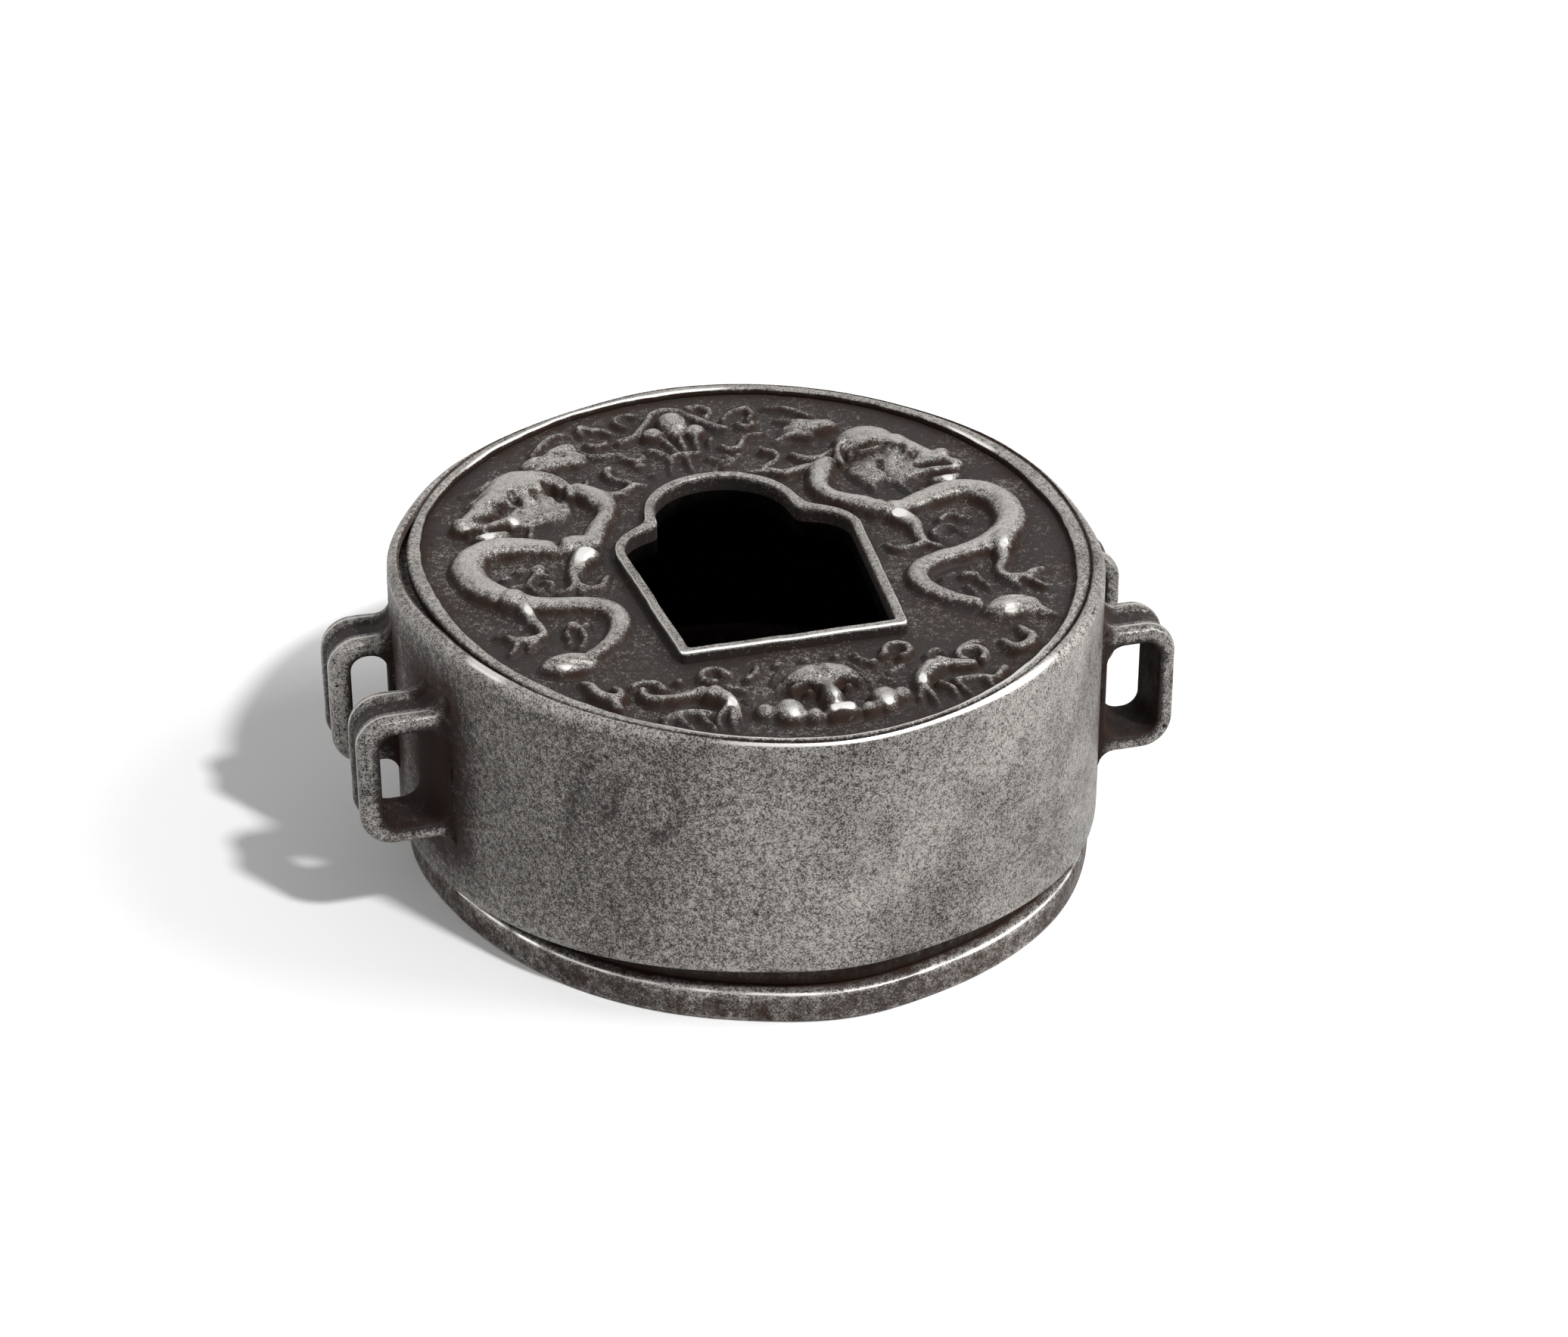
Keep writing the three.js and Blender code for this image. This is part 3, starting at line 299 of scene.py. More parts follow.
SCROLLS = {
    "lines": [
        # Curls inside the left dragon's bends
        [(-29, 2.4, 1, 1), (-30.2, 1, 0.9, 0.9), (-31, -0.6, 0.9, 0.9), (-30.8, -2, 0.8, 0.8),
         (-30.3, -3.4, 0.7, 0.7)],
        [(-33.4, -0.6, 0.8, 0.7), (-31.8, -0.6, 0.8, 0.7)],
        [(-29.2, 1.8, 0.8, 0.8), (-27.9, 1, 0.8, 0.7), (-27.3, 1.4, 0.7, 0.6)],
        [(-28.8, -0.3, 0.8, 0.7), (-27.9, -1, 0.8, 0.7), (-28.3, -2.2, 0.7, 0.6)],
        [(-27.1, -14.5, 1.1, 1.1), (-26.8, -16.3, 1, 1), (-27.3, -18, 0.9, 0.9), (-28.3, -19, 0.7, 0.7)],
        [(-29.1, -15, 0.9, 0.9), (-29, -16.8, 0.8, 0.8), (-29.3, -17.8, 0.7, 0.7)],
        [(-26.5, -13.8, 0.8, 0.8), (-25.8, -13.1, 0.8, 0.7), (-25, -13.7, 0.7, 0.6)],
        # Curls inside the right dragon's bends
        [(27.9, 2.2, 1, 1), (29.6, 3.1, 1, 1), (31.2, 2.2, 0.9, 0.9), (32.6, 1.5, 0.8, 0.7)],
        [(29.4, -0.2, 0.9, 0.8), (28.4, 0.4, 0.9, 0.8), (27, 0.2, 0.9, 0.8), (25.9, -1.2, 0.9, 0.8),
         (26.5, -2.8, 0.9, 0.8), (28, -3.1, 0.8, 0.7), (28.6, -2.2, 0.7, 0.6)],
        [(29.5, -1.2, 0.8, 0.8), (30.5, -2.3, 0.8, 0.7), (33, -1.8, 0.7, 0.6)],
        [(23.3, -14.1, 0.8, 0.7), (25.2, -12.8, 0.8, 0.7)],
        [(26.3, -14, 1.2, 1.2), (27.8, -14.6, 1.2, 1.2)],
        [(26, -16.8, 0.9, 0.8), (26.7, -19.6, 0.8, 0.7)],
        [(28, -15.3, 0.9, 0.9), (28.8, -17.8, 0.8, 0.7)],
        # Left of the mask
        [(-30, -28.2, 0.9, 0.9), (-29.2, -30, 1.6, 1.5), (-29, -32, 2, 1.8), (-28, -33.7, 1.9, 1.8),
         (-26.6, -34.1, 1.7, 1.7), (-25.9, -32.7, 1.5, 1.5), (-26.3, -30.6, 1, 1)],
        [(-27.4, -34.5, 1.6, 1.5), (-26.8, -36, 1.4, 1.1)],
        [(-22, -39.9, 1.2, 1), (-20, -39.3, 1.3, 1.1), (-17.5, -39.5, 1.3, 1.1), (-15.7, -40.3, 1.2, 1)],
        [(-20, -39.5, 1.1, 1), (-19.6, -41.3, 0.9, 0.9), (-18.9, -42.6, 0.7, 0.7)],
        [(-17.2, -39.7, 1.1, 1), (-16.9, -41.6, 0.9, 0.9), (-16.2, -43, 0.7, 0.7)],
        [(-7.2, -30.3, 1, 0.9), (-7.6, -31.5, 0.9, 0.9), (-8.6, -32.8, 1, 1)],
        [(-12.2, -34.4, 1, 0.9), (-11, -35, 1.1, 0.9), (-10, -35.8, 0.8, 0.7)],
        # Right of the mask
        [(29.2, -29.2, 0.9, 0.9), (29.2, -31.4, 1.6, 1.5), (29.7, -33.4, 1.9, 1.7), (28.3, -35, 1.9, 1.7),
         (26.6, -35, 1.6, 1.6), (25.8, -32.6, 1.2, 1.2)],
        [(16.9, -40.4, 1.2, 1), (19.9, -40.7, 1.3, 1.1), (21.9, -41.4, 1.2, 1.1), (23.7, -39.7, 1.6, 1.3)],
        [(17, -41.5, 1, 1), (17.9, -44.2, 0.7, 0.7)],
        [(20.9, -42, 1, 0.9), (21.2, -43.5, 0.7, 0.7)],
        [(6.1, -30.5, 1, 0.9), (6.5, -32, 0.9, 0.9), (7.8, -33.3, 1, 1)],
        [(15.2, -33.2, 0.9, 0.8), (16.5, -32.2, 1, 0.9), (17.7, -33.2, 0.9, 0.8)],
        [(9.5, -35.8, 0.8, 0.7), (11.2, -35, 1, 0.9)],
        # Left of the jewel
        [(-14.2, 42.7, 1.3, 1.1), (-12.8, 41.4, 1.2, 1.1), (-11.3, 41.2, 1.2, 1), (-10.2, 39.8, 1, 0.8)],
        [(-14.4, 42.2, 1.2, 1), (-14.3, 40.6, 1, 0.8)],
        [(-14.3, 37.6, 0.9, 0.8), (-13.4, 36.5, 1.1, 1), (-11.9, 36.6, 1.1, 1), (-11.4, 37.8, 0.9, 0.8)],
        [(-15, 34, 0.9, 0.8), (-12.8, 33.1, 1.1, 1), (-10.7, 33, 1.1, 1), (-10, 31.6, 1.1, 1),
         (-9, 30.5, 1.2, 1.1), (-7.8, 30.6, 1.1, 1), (-7.3, 32, 0.9, 0.8)],
        # Right of the jewel
        [(6.6, 39.8, 0.9, 0.8), (7.7, 41.3, 1.1, 1), (9.1, 42.1, 1.1, 1), (10.6, 42.9, 0.9, 0.9)],
        [(10.9, 42.3, 1.1, 1), (11.2, 40.6, 1, 0.8), (10.2, 39.4, 0.8, 0.7)],
        [(8.4, 38.4, 0.9, 0.8), (8.7, 37, 1.1, 1), (10.1, 36.9, 1.1, 1), (10.5, 38.3, 0.9, 0.8)],
        [(4.4, 32, 0.9, 0.8), (5.2, 30.6, 1.1, 1), (6.6, 30.6, 1.2, 1.1), (7.3, 31.9, 1.1, 1),
         (7.9, 33.3, 1, 0.9), (9.2, 34.1, 1, 0.9), (11, 34, 0.9, 0.8)],
        [(1.8, 28.8, 1, 0.9), (3, 27.6, 0.9, 0.8), (4.6, 27.2, 0.9, 0.8)],
        [(4.2, 28.9, 0.9, 0.8), (4.9, 27, 0.8, 0.7), (3, 25.8, 0.8, 0.7)],
    ],
    "domes": [(-33.6, 1.5, 1.3, 0.8, 1), (-31.2, 3.2, 1.2, 0.9, 1.1), (-29, 2.7, 1.3, 1.1, 1.4),
              (-28, -14, 1.3, 1.1, 1.5), (26.9, -1.4, 0.6, 0.6, 0.8), (-17.8, -31.2, 1, 0.9, 1),
              (-11.4, -31.2, 1.1, 0.9, 1.1), (-8.8, -32.9, 0.9, 0.8, 1.1), (7.9, -33.3, 0.9, 0.8, 1.1),
              (-4.2, -30.3, 0.9, 0.8, 0.9), (-0.5, -30.2, 1, 0.8, 0.9), (3.7, -30.3, 0.9, 0.8, 0.9),
              (9.7, -31.8, 1, 0.8, 1), (-8.4, 29, 1.1, 0.9, 1), (-7, 26, 0.9, 0.6, 0.8),
              (6, 28.6, 0.9, 0.8, 0.8)],
    "cuts": [],
}

# Ring-shaped curls: middle, radius, first and last angle in degrees, width and height
CURLS = [(-13.2, -31.2, 1.6, 0, 270, 1.1, 1.2), (11.7, -31.2, 1.7, -90, 200, 1.1, 1.2),
         (20.8, -35, 1.8, -60, 230, 1.2, 1.3), (-7, 42.9, 1.8, 40, 250, 1, 1),
         (3.5, 43, 1.9, -70, 130, 1, 1)]
SCROLLS["lines"] += [
    [(x + r * math.cos(math.radians(a)), y + r * math.sin(math.radians(a)), width, height)
     for a in np.linspace(first, last, 9)] for x, y, r, first, last, width, height in CURLS]


# Numbers that vary smoothly, the same in every run
def lumps(u, v, size, seed, wrap=None):
    """Soft random lumps between -1 and 1 over u and v, size apart; wrap is u's length if it closes on itself."""
    columns = max(3, round(wrap / size)) if wrap else 256
    step = wrap / columns if wrap else size
    lattice = np.random.default_rng(seed).uniform(-1, 1, (columns, 256))
    a, b = np.asarray(u) / step, np.asarray(v) / size
    i, j = np.floor(a).astype(int), np.floor(b).astype(int)
    s, t = a - i, b - j
    s, t = s * s * (3 - 2 * s), t * t * (3 - 2 * t)
    near, far = i % columns, (i + 1) % columns
    low, high = j % 256, (j + 1) % 256
    return ((lattice[near, low] * (1 - s) + lattice[far, low] * s) * (1 - t)
            + (lattice[near, high] * (1 - s) + lattice[far, high] * s) * t)


def ease(value, low, high):
    """0 below low, 1 above high and smooth between."""
    t = np.clip((value - low) / (high - low), 0, 1)
    return t * t * (3 - 2 * t)


def curve_through(points, spacing):
    """Rows of a smooth curve through given rows."""
    p = np.asarray(points, float)
    q = np.vstack([2 * p[0] - p[1], p, 2 * p[-1] - p[-2]])
    rows = [p[0]]
    for a, b, c, d in zip(q[:-3], q[1:-2], q[2:-1], q[3:]):
        count = max(1, math.ceil(np.hypot(*(c - b)[:2]) / spacing))
        for f in np.arange(1, count + 1) / count:
            rows.append(b + 0.5 * f * (c - a + f * (2 * a - 5 * b + 4 * c - d + f * (3 * (b - c) + d - a))))
    return np.array(rows)


def eased_round(values, count):
    """Values at equal steps round the case, eased to count steps and closed with the first."""
    p = np.asarray(values, float)
    place = np.arange(count + 1) / count * len(p)
    i = np.floor(place).astype(int)
    f = place - i
    a, b, c, d = (p[(i + k) % len(p)] for k in (-1, 0, 1, 2))
    return b + 0.5 * f * (c - a + f * (2 * a - 5 * b + 4 * c - d + f * (3 * (b - c) + d - a)))


# Lines round the case, read from the frame
RING_CORNERS = 80


def ring_line(node, count, choose):
    """A value round a ring-like node, in millimetres; choose picks it from the radii and heights at one angle."""
    co = np.array([v.co[:] for v in nodes[node].data.vertices]) / MM
    turn = np.degrees(np.arctan2(co[:, 1], co[:, 0])) / 360 * RING_CORNERS
    radius = np.hypot(co[:, 0], co[:, 1])
    values = []
    for i in range(RING_CORNERS):
        here = np.abs((turn - i + RING_CORNERS / 2) % RING_CORNERS - RING_CORNERS / 2) < 0.05
        values.append(choose(radius[here], co[here, 2]))
    return eased_round(values, count)


# Window outline, in millimetres: straight base and sides, a lobe each way and a round arch between cusps
WINDOW_X = -0.75
FRAME_WALL, FRAME_ROUND = 1.3, 0.28
ARCH_Y, ARCH_RADIUS = 11.4, 11.1
LOBE_X, LOBE_Y, LOBE_RADIUS = 10.0, 2.6, 7.4
BASE_Y, BASE_HALF = -26.2, 15.5
CORNER_EASING = 160


def window_outline(grow):
    """Closed outline grown by a distance, with the same number of points whatever the distance."""
    arch, lobe = ARCH_RADIUS + grow, LOBE_RADIUS + grow
    apart = math.hypot(LOBE_X, ARCH_Y - LOBE_Y)
    along = (arch ** 2 - lobe ** 2 + apart ** 2) / (2 * apart)
    half = math.sqrt(arch ** 2 - along ** 2)
    bearing = math.atan2(LOBE_Y - ARCH_Y, LOBE_X)
    cusp = (along * math.cos(bearing) - half * math.sin(bearing),
            ARCH_Y + along * math.sin(bearing) + half * math.cos(bearing))
    lobe_end = math.atan2(cusp[1] - LOBE_Y, cusp[0] - LOBE_X)
    arch_start = math.atan2(cusp[1] - ARCH_Y, cusp[0])
    corner = np.array([BASE_HALF + grow, BASE_Y - grow])
    side_top = np.array([LOBE_X + lobe, LOBE_Y])
    base = [corner * (t, 1) for t in np.linspace(0, 1, 90)]
    side = [corner + (side_top - corner) * t for t in np.linspace(0, 1, 110)[1:]]
    lobe_arc = [(LOBE_X + lobe * math.cos(a), LOBE_Y + lobe * math.sin(a)) for a in np.linspace(0, lobe_end, 50)[1:]]
    arch_arc = [(arch * math.cos(a), ARCH_Y + arch * math.sin(a))
                for a in np.linspace(arch_start, math.pi / 2, 90)[1:]]
    right = np.array([*base, *side, *lobe_arc, *arch_arc])
    left = right[::-1][1:-1] * (-1, 1)
    line = np.vstack([right, left])
    easing = np.maximum(np.exp(-((line[:, 1:] - ARCH_Y) / 5) ** 2), 0.08)
    for _ in range(CORNER_EASING):
        line = line + easing * (np.roll(line, 1, axis=0) + np.roll(line, -1, axis=0) - 2 * line) / 4
    return line + (WINDOW_X, 0)


# Mesh helpers
def mesh_object(name, bm):
    mesh = bpy.data.meshes.new(name)
    bm.to_mesh(mesh)
    bm.free()
    mesh.shade_smooth()
    obj = bpy.data.objects.new(name, mesh)
    bpy.context.scene.collection.objects.link(obj)
    return obj


def shaped_grid(points, masks):
    """A bmesh grid whose vertices lie at points[column, row], in millimetres, with its masks as vertex layers."""
    columns, rows = points.shape[0] - 1, points.shape[1] - 1
    bm = bmesh.new()
    bmesh.ops.create_grid(bm, x_segments=columns, y_segments=rows, size=0.5)
    layers = [(bm.verts.layers.float.new(label), values.tolist()) for label, values in masks.items()]
    places = (points * MM).tolist()
    for v in bm.verts:
        i, j = round((v.co.x + 0.5) * columns), round((v.co.y + 0.5) * rows)
        v.co = places[i][j]
        for layer, values in layers:
            v[layer] = values[i][j]
    return bm


def closed_ring(points, masks):
    """A mesh of points[column, row] whose last row meets the first; its last column repeats the first."""
    points = np.concatenate([points, points[:, :1]], axis=1)
    masks = {label: np.concatenate([mask, mask[:, :1]], axis=1) for label, mask in masks.items()}
    bm = shaped_grid(points, masks)
    bmesh.ops.remove_doubles(bm, verts=bm.verts, dist=1e-7)
    bmesh.ops.recalc_face_normals(bm, faces=bm.faces)
    return bm


STEPS_ROUND = 960
ROUND_LENGTH = 2 * math.pi * 50
AROUND = np.linspace(0, ROUND_LENGTH, STEPS_ROUND + 1)


class Section:
    """Lines round the case that together make one closed ring."""

    def __init__(self):
        self.lines = []

    def add(self, radius, z, wear_and_painted_light, rust):
        """One line: its radius and height in millimetres, how bare it is from rubbing and from painted highlight and
        shade, and how rusty, each round the case.
        """
        self.lines.append([value + np.zeros_like(AROUND) for value in (radius, z, wear_and_painted_light, rust)])

    def mesh(self):
        radius, z, wear_and_painted_light, rust = np.array(self.lines).transpose(1, 2, 0)
        angle = np.linspace(0, 2 * math.pi, STEPS_ROUND + 1)[:, None]
        points = np.stack([radius * np.cos(angle), radius * np.sin(angle), z], -1)
        return closed_ring(points, {"wear_and_painted_light": wear_and_painted_light, "rust": rust})


def finish_piece(name, bm, material, body, slot, *replaced):
    obj = mesh_object(name, bm)
    obj.data.materials.append(material)
    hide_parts(*replaced)
    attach(obj, body)
    return obj


# Carving; softening is how often the carved heights are evened out
SOFTENING = 4


def ridge_rise(x, y, lines, sink, spread=0.0):
    """Height of one smooth line's rounded section over a lattice; sink is how steeply it ends."""
    rise = np.full(x.shape, -9.0)
    step = x[1, 0] - x[0, 0]
    left, low = x[0, 0], y[0, 0]
    for (ax, ay, aw, ah), (bx, by, bw, bh) in zip(lines[:-1], lines[1:]):
        reach = max(aw, bw) / 2 + 0.8
        i0, i1 = (int((e - left) / step) for e in (min(ax, bx) - reach, max(ax, bx) + reach))
        j0, j1 = (int((e - low) / step) for e in (min(ay, by) - reach, max(ay, by) + reach))
        part = slice(max(i0, 0), max(i1 + 2, 0)), slice(max(j0, 0), max(j1 + 2, 0))
        px, py = x[part] - ax, y[part] - ay
        dx, dy = bx - ax, by - ay
        t = np.clip((px * dx + py * dy) / (dx * dx + dy * dy), 0, 1)
        away = np.hypot(px - t * dx, py - t * dy)
        half = (aw + (bw - aw) * t) / 2 * 1.08 + spread
        tall = ah + (bh - ah) * t
        share = np.clip(1 - (away / half) ** 2.3, 0, 1) ** 0.6
        here = np.where(away < half, tall * share, -(away - half) * sink)
        rise[part] = np.maximum(rise[part], here)
    return rise


def softened(values, times):
    """Values over a lattice, evened out with their neighbours a number of times."""
    for _ in range(times):
        for axis in (0, 1):
            values = (np.roll(values, 1, axis) + 2 * values + np.roll(values, -1, axis)) / 4
    return values


def merged(a, b, blend):
    """The larger of two heights, run softly into each other."""
    return np.maximum(a, b) + np.maximum(blend - np.abs(a - b), 0) ** 2 / (4 * blend)


def carved_height(x, y, figure, blend):
    height = np.zeros_like(x)

    def dome(cx, cy, rx, ry, tall):
        away = np.hypot((x - cx) / rx, (y - cy) / ry)
        share = np.clip(1 - away ** 2.5, 0, 1) ** 0.6
        return np.where(away < 1, tall * share, -(away - 1) * min(rx, ry) * 2)

    for mass in figure.get("tousled", []):
        locks = 1 + 0.32 * lumps(x, 0.7 * y, 1.5, 7) + 0.12 * lumps(x, y, 0.7, 8)
        height = merged(height, dome(*mass) * locks, blend)
    for mass in figure["domes"]:
        height = merged(height, dome(*mass), blend)
    for points in figure["lines"]:
        height = merged(height, ridge_rise(x, y, curve_through(points, 0.35), 2.0, 0.14), blend)
    for points in figure["cuts"]:
        cut = np.maximum(ridge_rise(x, y, curve_through(points, 0.4), 2.0), 0)
        height = np.maximum(height - cut, 0)
    return softened(height, SOFTENING)


def ground_roughness(x, y):
    """Small unevenness of the hammered ground, in millimetres."""
    return 0.035 * lumps(x, y, 1.3, 3) + 0.02 * lumps(x, y, 0.55, 4)


def figure_mesh(figure, settings):
    """The figure's forms as a closed mesh that stands on the ground, keeping only where it rises."""
    everything = np.array([p[:2] for line in figure["lines"] for p in line] + [d[:2] for d in figure["domes"]])
    low, high = everything.min(0) - 6, everything.max(0) + 6
    step = settings.cell / MM
    x, y = np.meshgrid(np.arange(low[0], high[0], step), np.arange(low[1], high[1], step), indexing="ij")
    rise = carved_height(x, y, figure, settings.blend) * settings.height
    high_part = ease(rise, 0.15, 0.9)
    rise = rise + high_part * (0.07 * lumps(x, y, 2.1, 5) + 0.04 * lumps(x, y, 0.8, 6))
    along_x, along_y = np.gradient(rise, step)
    upright = 1 / np.sqrt(1 + along_x ** 2 + along_y ** 2)
    flat = softened(ease(upright, 0.45, 0.97), 6)
    worn_and_painted_light = ease(rise, 0.0, 1.6) * flat
    # Painted highlights: the listed spots push the mask toward the pale highlight colour on the higher forms
    for cx, cy, radius in figure.get("painted_highlight", []):
        worn_and_painted_light = worn_and_painted_light + 0.7 * np.exp(-((x - cx) ** 2 + (y - cy) ** 2) / radius ** 2) * ease(rise, 0.3, 1.2)
    points = np.stack([x, y, GROUND + rise], -1)
    bm = shaped_grid(points, {"wear_and_painted_light": worn_and_painted_light, "rust": 0.12 + 0.36 * (1 - flat)})
    sunk = (GROUND + 0.006) * MM
    bmesh.ops.delete(bm, geom=[v for v in bm.verts if v.co.z < sunk], context="VERTS")
    loose = [v for v in bm.verts if not v.link_faces]
    bmesh.ops.delete(bm, geom=loose, context="VERTS")
    rim = [e for e in bm.edges if e.is_boundary]
    skirt = bmesh.ops.extrude_edge_only(bm, edges=rim)["geom"]
    for v in skirt:
        if isinstance(v, bmesh.types.BMVert):
            v.co.z = (GROUND - 0.3) * MM
    foot = [e for e in skirt if isinstance(e, bmesh.types.BMEdge) and e.is_boundary]
    bmesh.ops.triangle_fill(bm, edges=foot, use_dissolve=False, use_beauty=False)
    bmesh.ops.recalc_face_normals(bm, faces=bm.faces)
    return bm


# Shader groups
def new_group(name, inputs, outputs):
    group = bpy.data.node_groups.new(name, "ShaderNodeTree")
    for label, kind, default in inputs:
        socket = group.interface.new_socket(name=label, in_out="INPUT", socket_type=kind)
        if default is not None:
            socket.default_value = default
    for label, kind in outputs:
        group.interface.new_socket(name=label, in_out="OUTPUT", socket_type=kind)
    return group, group.nodes.new("NodeGroupInput"), group.nodes.new("NodeGroupOutput")


def math_node(tree, operation, a, b, clamp=False):
    node = tree.nodes.new("ShaderNodeMath")
    node.operation = operation
    node.use_clamp = clamp
    for socket, value in zip(node.inputs, (a, b)):
        if isinstance(value, (int, float)):
            socket.default_value = value
        else:
            tree.links.new(value, socket)
    return node.outputs[0]


def mix_node(tree, factor, a, b):
    node = tree.nodes.new("ShaderNodeMix")
    node.data_type = "RGBA"
    tree.links.new(factor, node.inputs["Factor"])
    tree.links.new(a, node.inputs["A"])
    tree.links.new(b, node.inputs["B"])
    return node.outputs["Result"]


def noise_node(tree, vector, scale, detail=4, roughness=0.6):
    node = tree.nodes.new("ShaderNodeTexNoise")
    node.inputs["Scale"].default_value = scale
    node.inputs["Detail"].default_value = detail
    node.inputs["Roughness"].default_value = roughness
    tree.links.new(vector, node.inputs["Vector"])
    return node.outputs["Fac"]


def ramp_node(tree, value, low, high, to_low=0.0, to_high=1.0):
    node = tree.nodes.new("ShaderNodeMapRange")
    node.inputs["From Min"].default_value = low
    node.inputs["From Max"].default_value = high
    node.inputs["To Min"].default_value = to_low
    node.inputs["To Max"].default_value = to_high
    tree.links.new(value, node.inputs["Value"])
    return node.outputs["Result"]


def iron_group():
    """Forged iron: bright where bare, dark patina elsewhere, with fine pitting, stains and rust; the bare-metal mask
    also carries painted shade and painted highlights, and above 1 it paints a pale highlight colour.
    """
    group, inside, outside = new_group(
        "Forged Iron",
        [("Bright", "NodeSocketColor", (0.4, 0.39, 0.37, 1)), ("Dark", "NodeSocketColor", (0.04, 0.04, 0.04, 1)),
         ("Rust", "NodeSocketColor", (0.06, 0.026, 0.014, 1)), ("Painted_Highlight", "NodeSocketColor", (0.8, 0.8, 0.8, 1)),
         ("Wear_And_Painted_Light", "NodeSocketFloat", 0.5),
         ("Rusting", "NodeSocketFloat", 0.2), ("Speckle", "NodeSocketFloat", 0.5),
         ("Patches", "NodeSocketFloat", 0.3)],
        [("Color", "NodeSocketColor"), ("Roughness", "NodeSocketFloat"), ("Metallic", "NodeSocketFloat"),
         ("Height", "NodeSocketFloat")])
    place = group.nodes.new("ShaderNodeTexCoord").outputs["Object"]
    fine = noise_node(group, place, 4400, 2, 0.6)
    coarse = noise_node(group, place, 1300, 3, 0.6)
    broad = noise_node(group, place, 110, 5, 0.6)
    patch = noise_node(group, place, 38, 3, 0.5)

    def signed(noise, amount):
        return math_node(group, "MULTIPLY", math_node(group, "SUBTRACT", noise, 0.5), amount)

    wear_and_painted_light = math_node(group, "ADD", inside.outputs["Wear_And_Painted_Light"], signed(fine, 1.3))
    wear_and_painted_light = math_node(group, "ADD", wear_and_painted_light, signed(coarse, 1.0))
    wear_and_painted_light = math_node(group, "ADD", wear_and_painted_light, signed(broad, 0.7))
    worn_and_painted_light = ramp_node(group, wear_and_painted_light, 0.18, 0.78)
    patina = mix_node(group, ramp_node(group, broad, 0.62, 0.4), inside.outputs["Rust"], inside.outputs["Dark"])
    color = mix_node(group, worn_and_painted_light, patina, inside.outputs["Bright"])
    # Fine specks and broad patches darken the bare metal, but not where the mask above 1 paints the pale highlight
    # colour and smooths the metal
    polish_and_painted_highlight = ramp_node(group, inside.outputs["Wear_And_Painted_Light"], 0.95, 1.25)
    dots = math_node(group, "ADD", math_node(group, "MULTIPLY", fine, 0.7), math_node(group, "MULTIPLY", coarse, 0.3))
    dots = math_node(group, "MULTIPLY", ramp_node(group, dots, 0.58, 0.38), math_node(group, "SUBTRACT", 1.0, polish_and_painted_highlight))
    specks = math_node(group, "MULTIPLY", dots, inside.outputs["Speckle"])
    patches = math_node(group, "MULTIPLY", ramp_node(group, patch, 0.42, 0.62), inside.outputs["Patches"])
    stains = math_node(group, "MULTIPLY", ramp_node(group, broad, 0.45, 0.65), inside.outputs["Patches"])
    shade = math_node(group, "ADD", specks, math_node(group, "ADD", patches, stains), True)
    color = mix_node(group, shade, color, inside.outputs["Dark"])
    # Rust in spots, more where the mesh says so
    spots = math_node(group, "ADD", noise_node(group, place, 330, 5, 0.7), inside.outputs["Rusting"])
    rusty = ramp_node(group, spots, 0.72, 0.98)
    color = mix_node(group, rusty, color, inside.outputs["Rust"])
    pits = ramp_node(group, noise_node(group, place, 520, 2, 0.5), 0.71, 0.76)
    color = mix_node(group, pits, color, inside.outputs["Rust"])
    # Painted highlight: above 1 the mask turns the colour to the pale highlight colour, and makes the metal smoother
    # and more metallic there
    color = mix_node(group, polish_and_painted_highlight, color, inside.outputs["Painted_Highlight"])
    group.links.new(color, outside.inputs["Color"])
    rough = math_node(group, "ADD", ramp_node(group, worn_and_painted_light, 0, 1, 0.62, 0.42), signed(fine, 0.35))
    rough = math_node(group, "SUBTRACT", rough, math_node(group, "MULTIPLY", polish_and_painted_highlight, 0.12))
    group.links.new(math_node(group, "ADD", rough, math_node(group, "MULTIPLY", rusty, 0.2), True),
                    outside.inputs["Roughness"])
    bare = math_node(group, "MULTIPLY", worn_and_painted_light, ramp_node(group, rusty, 0, 1, 0.45, 0.05))
    bare = math_node(group, "ADD", bare, math_node(group, "MULTIPLY", polish_and_painted_highlight, 0.4), True)
    group.links.new(bare, outside.inputs["Metallic"])
    bumps = math_node(group, "ADD", math_node(group, "MULTIPLY", fine, 0.5), math_node(group, "MULTIPLY", coarse, 0.6))
    group.links.new(math_node(group, "SUBTRACT", bumps, pits), outside.inputs["Height"])
    return group


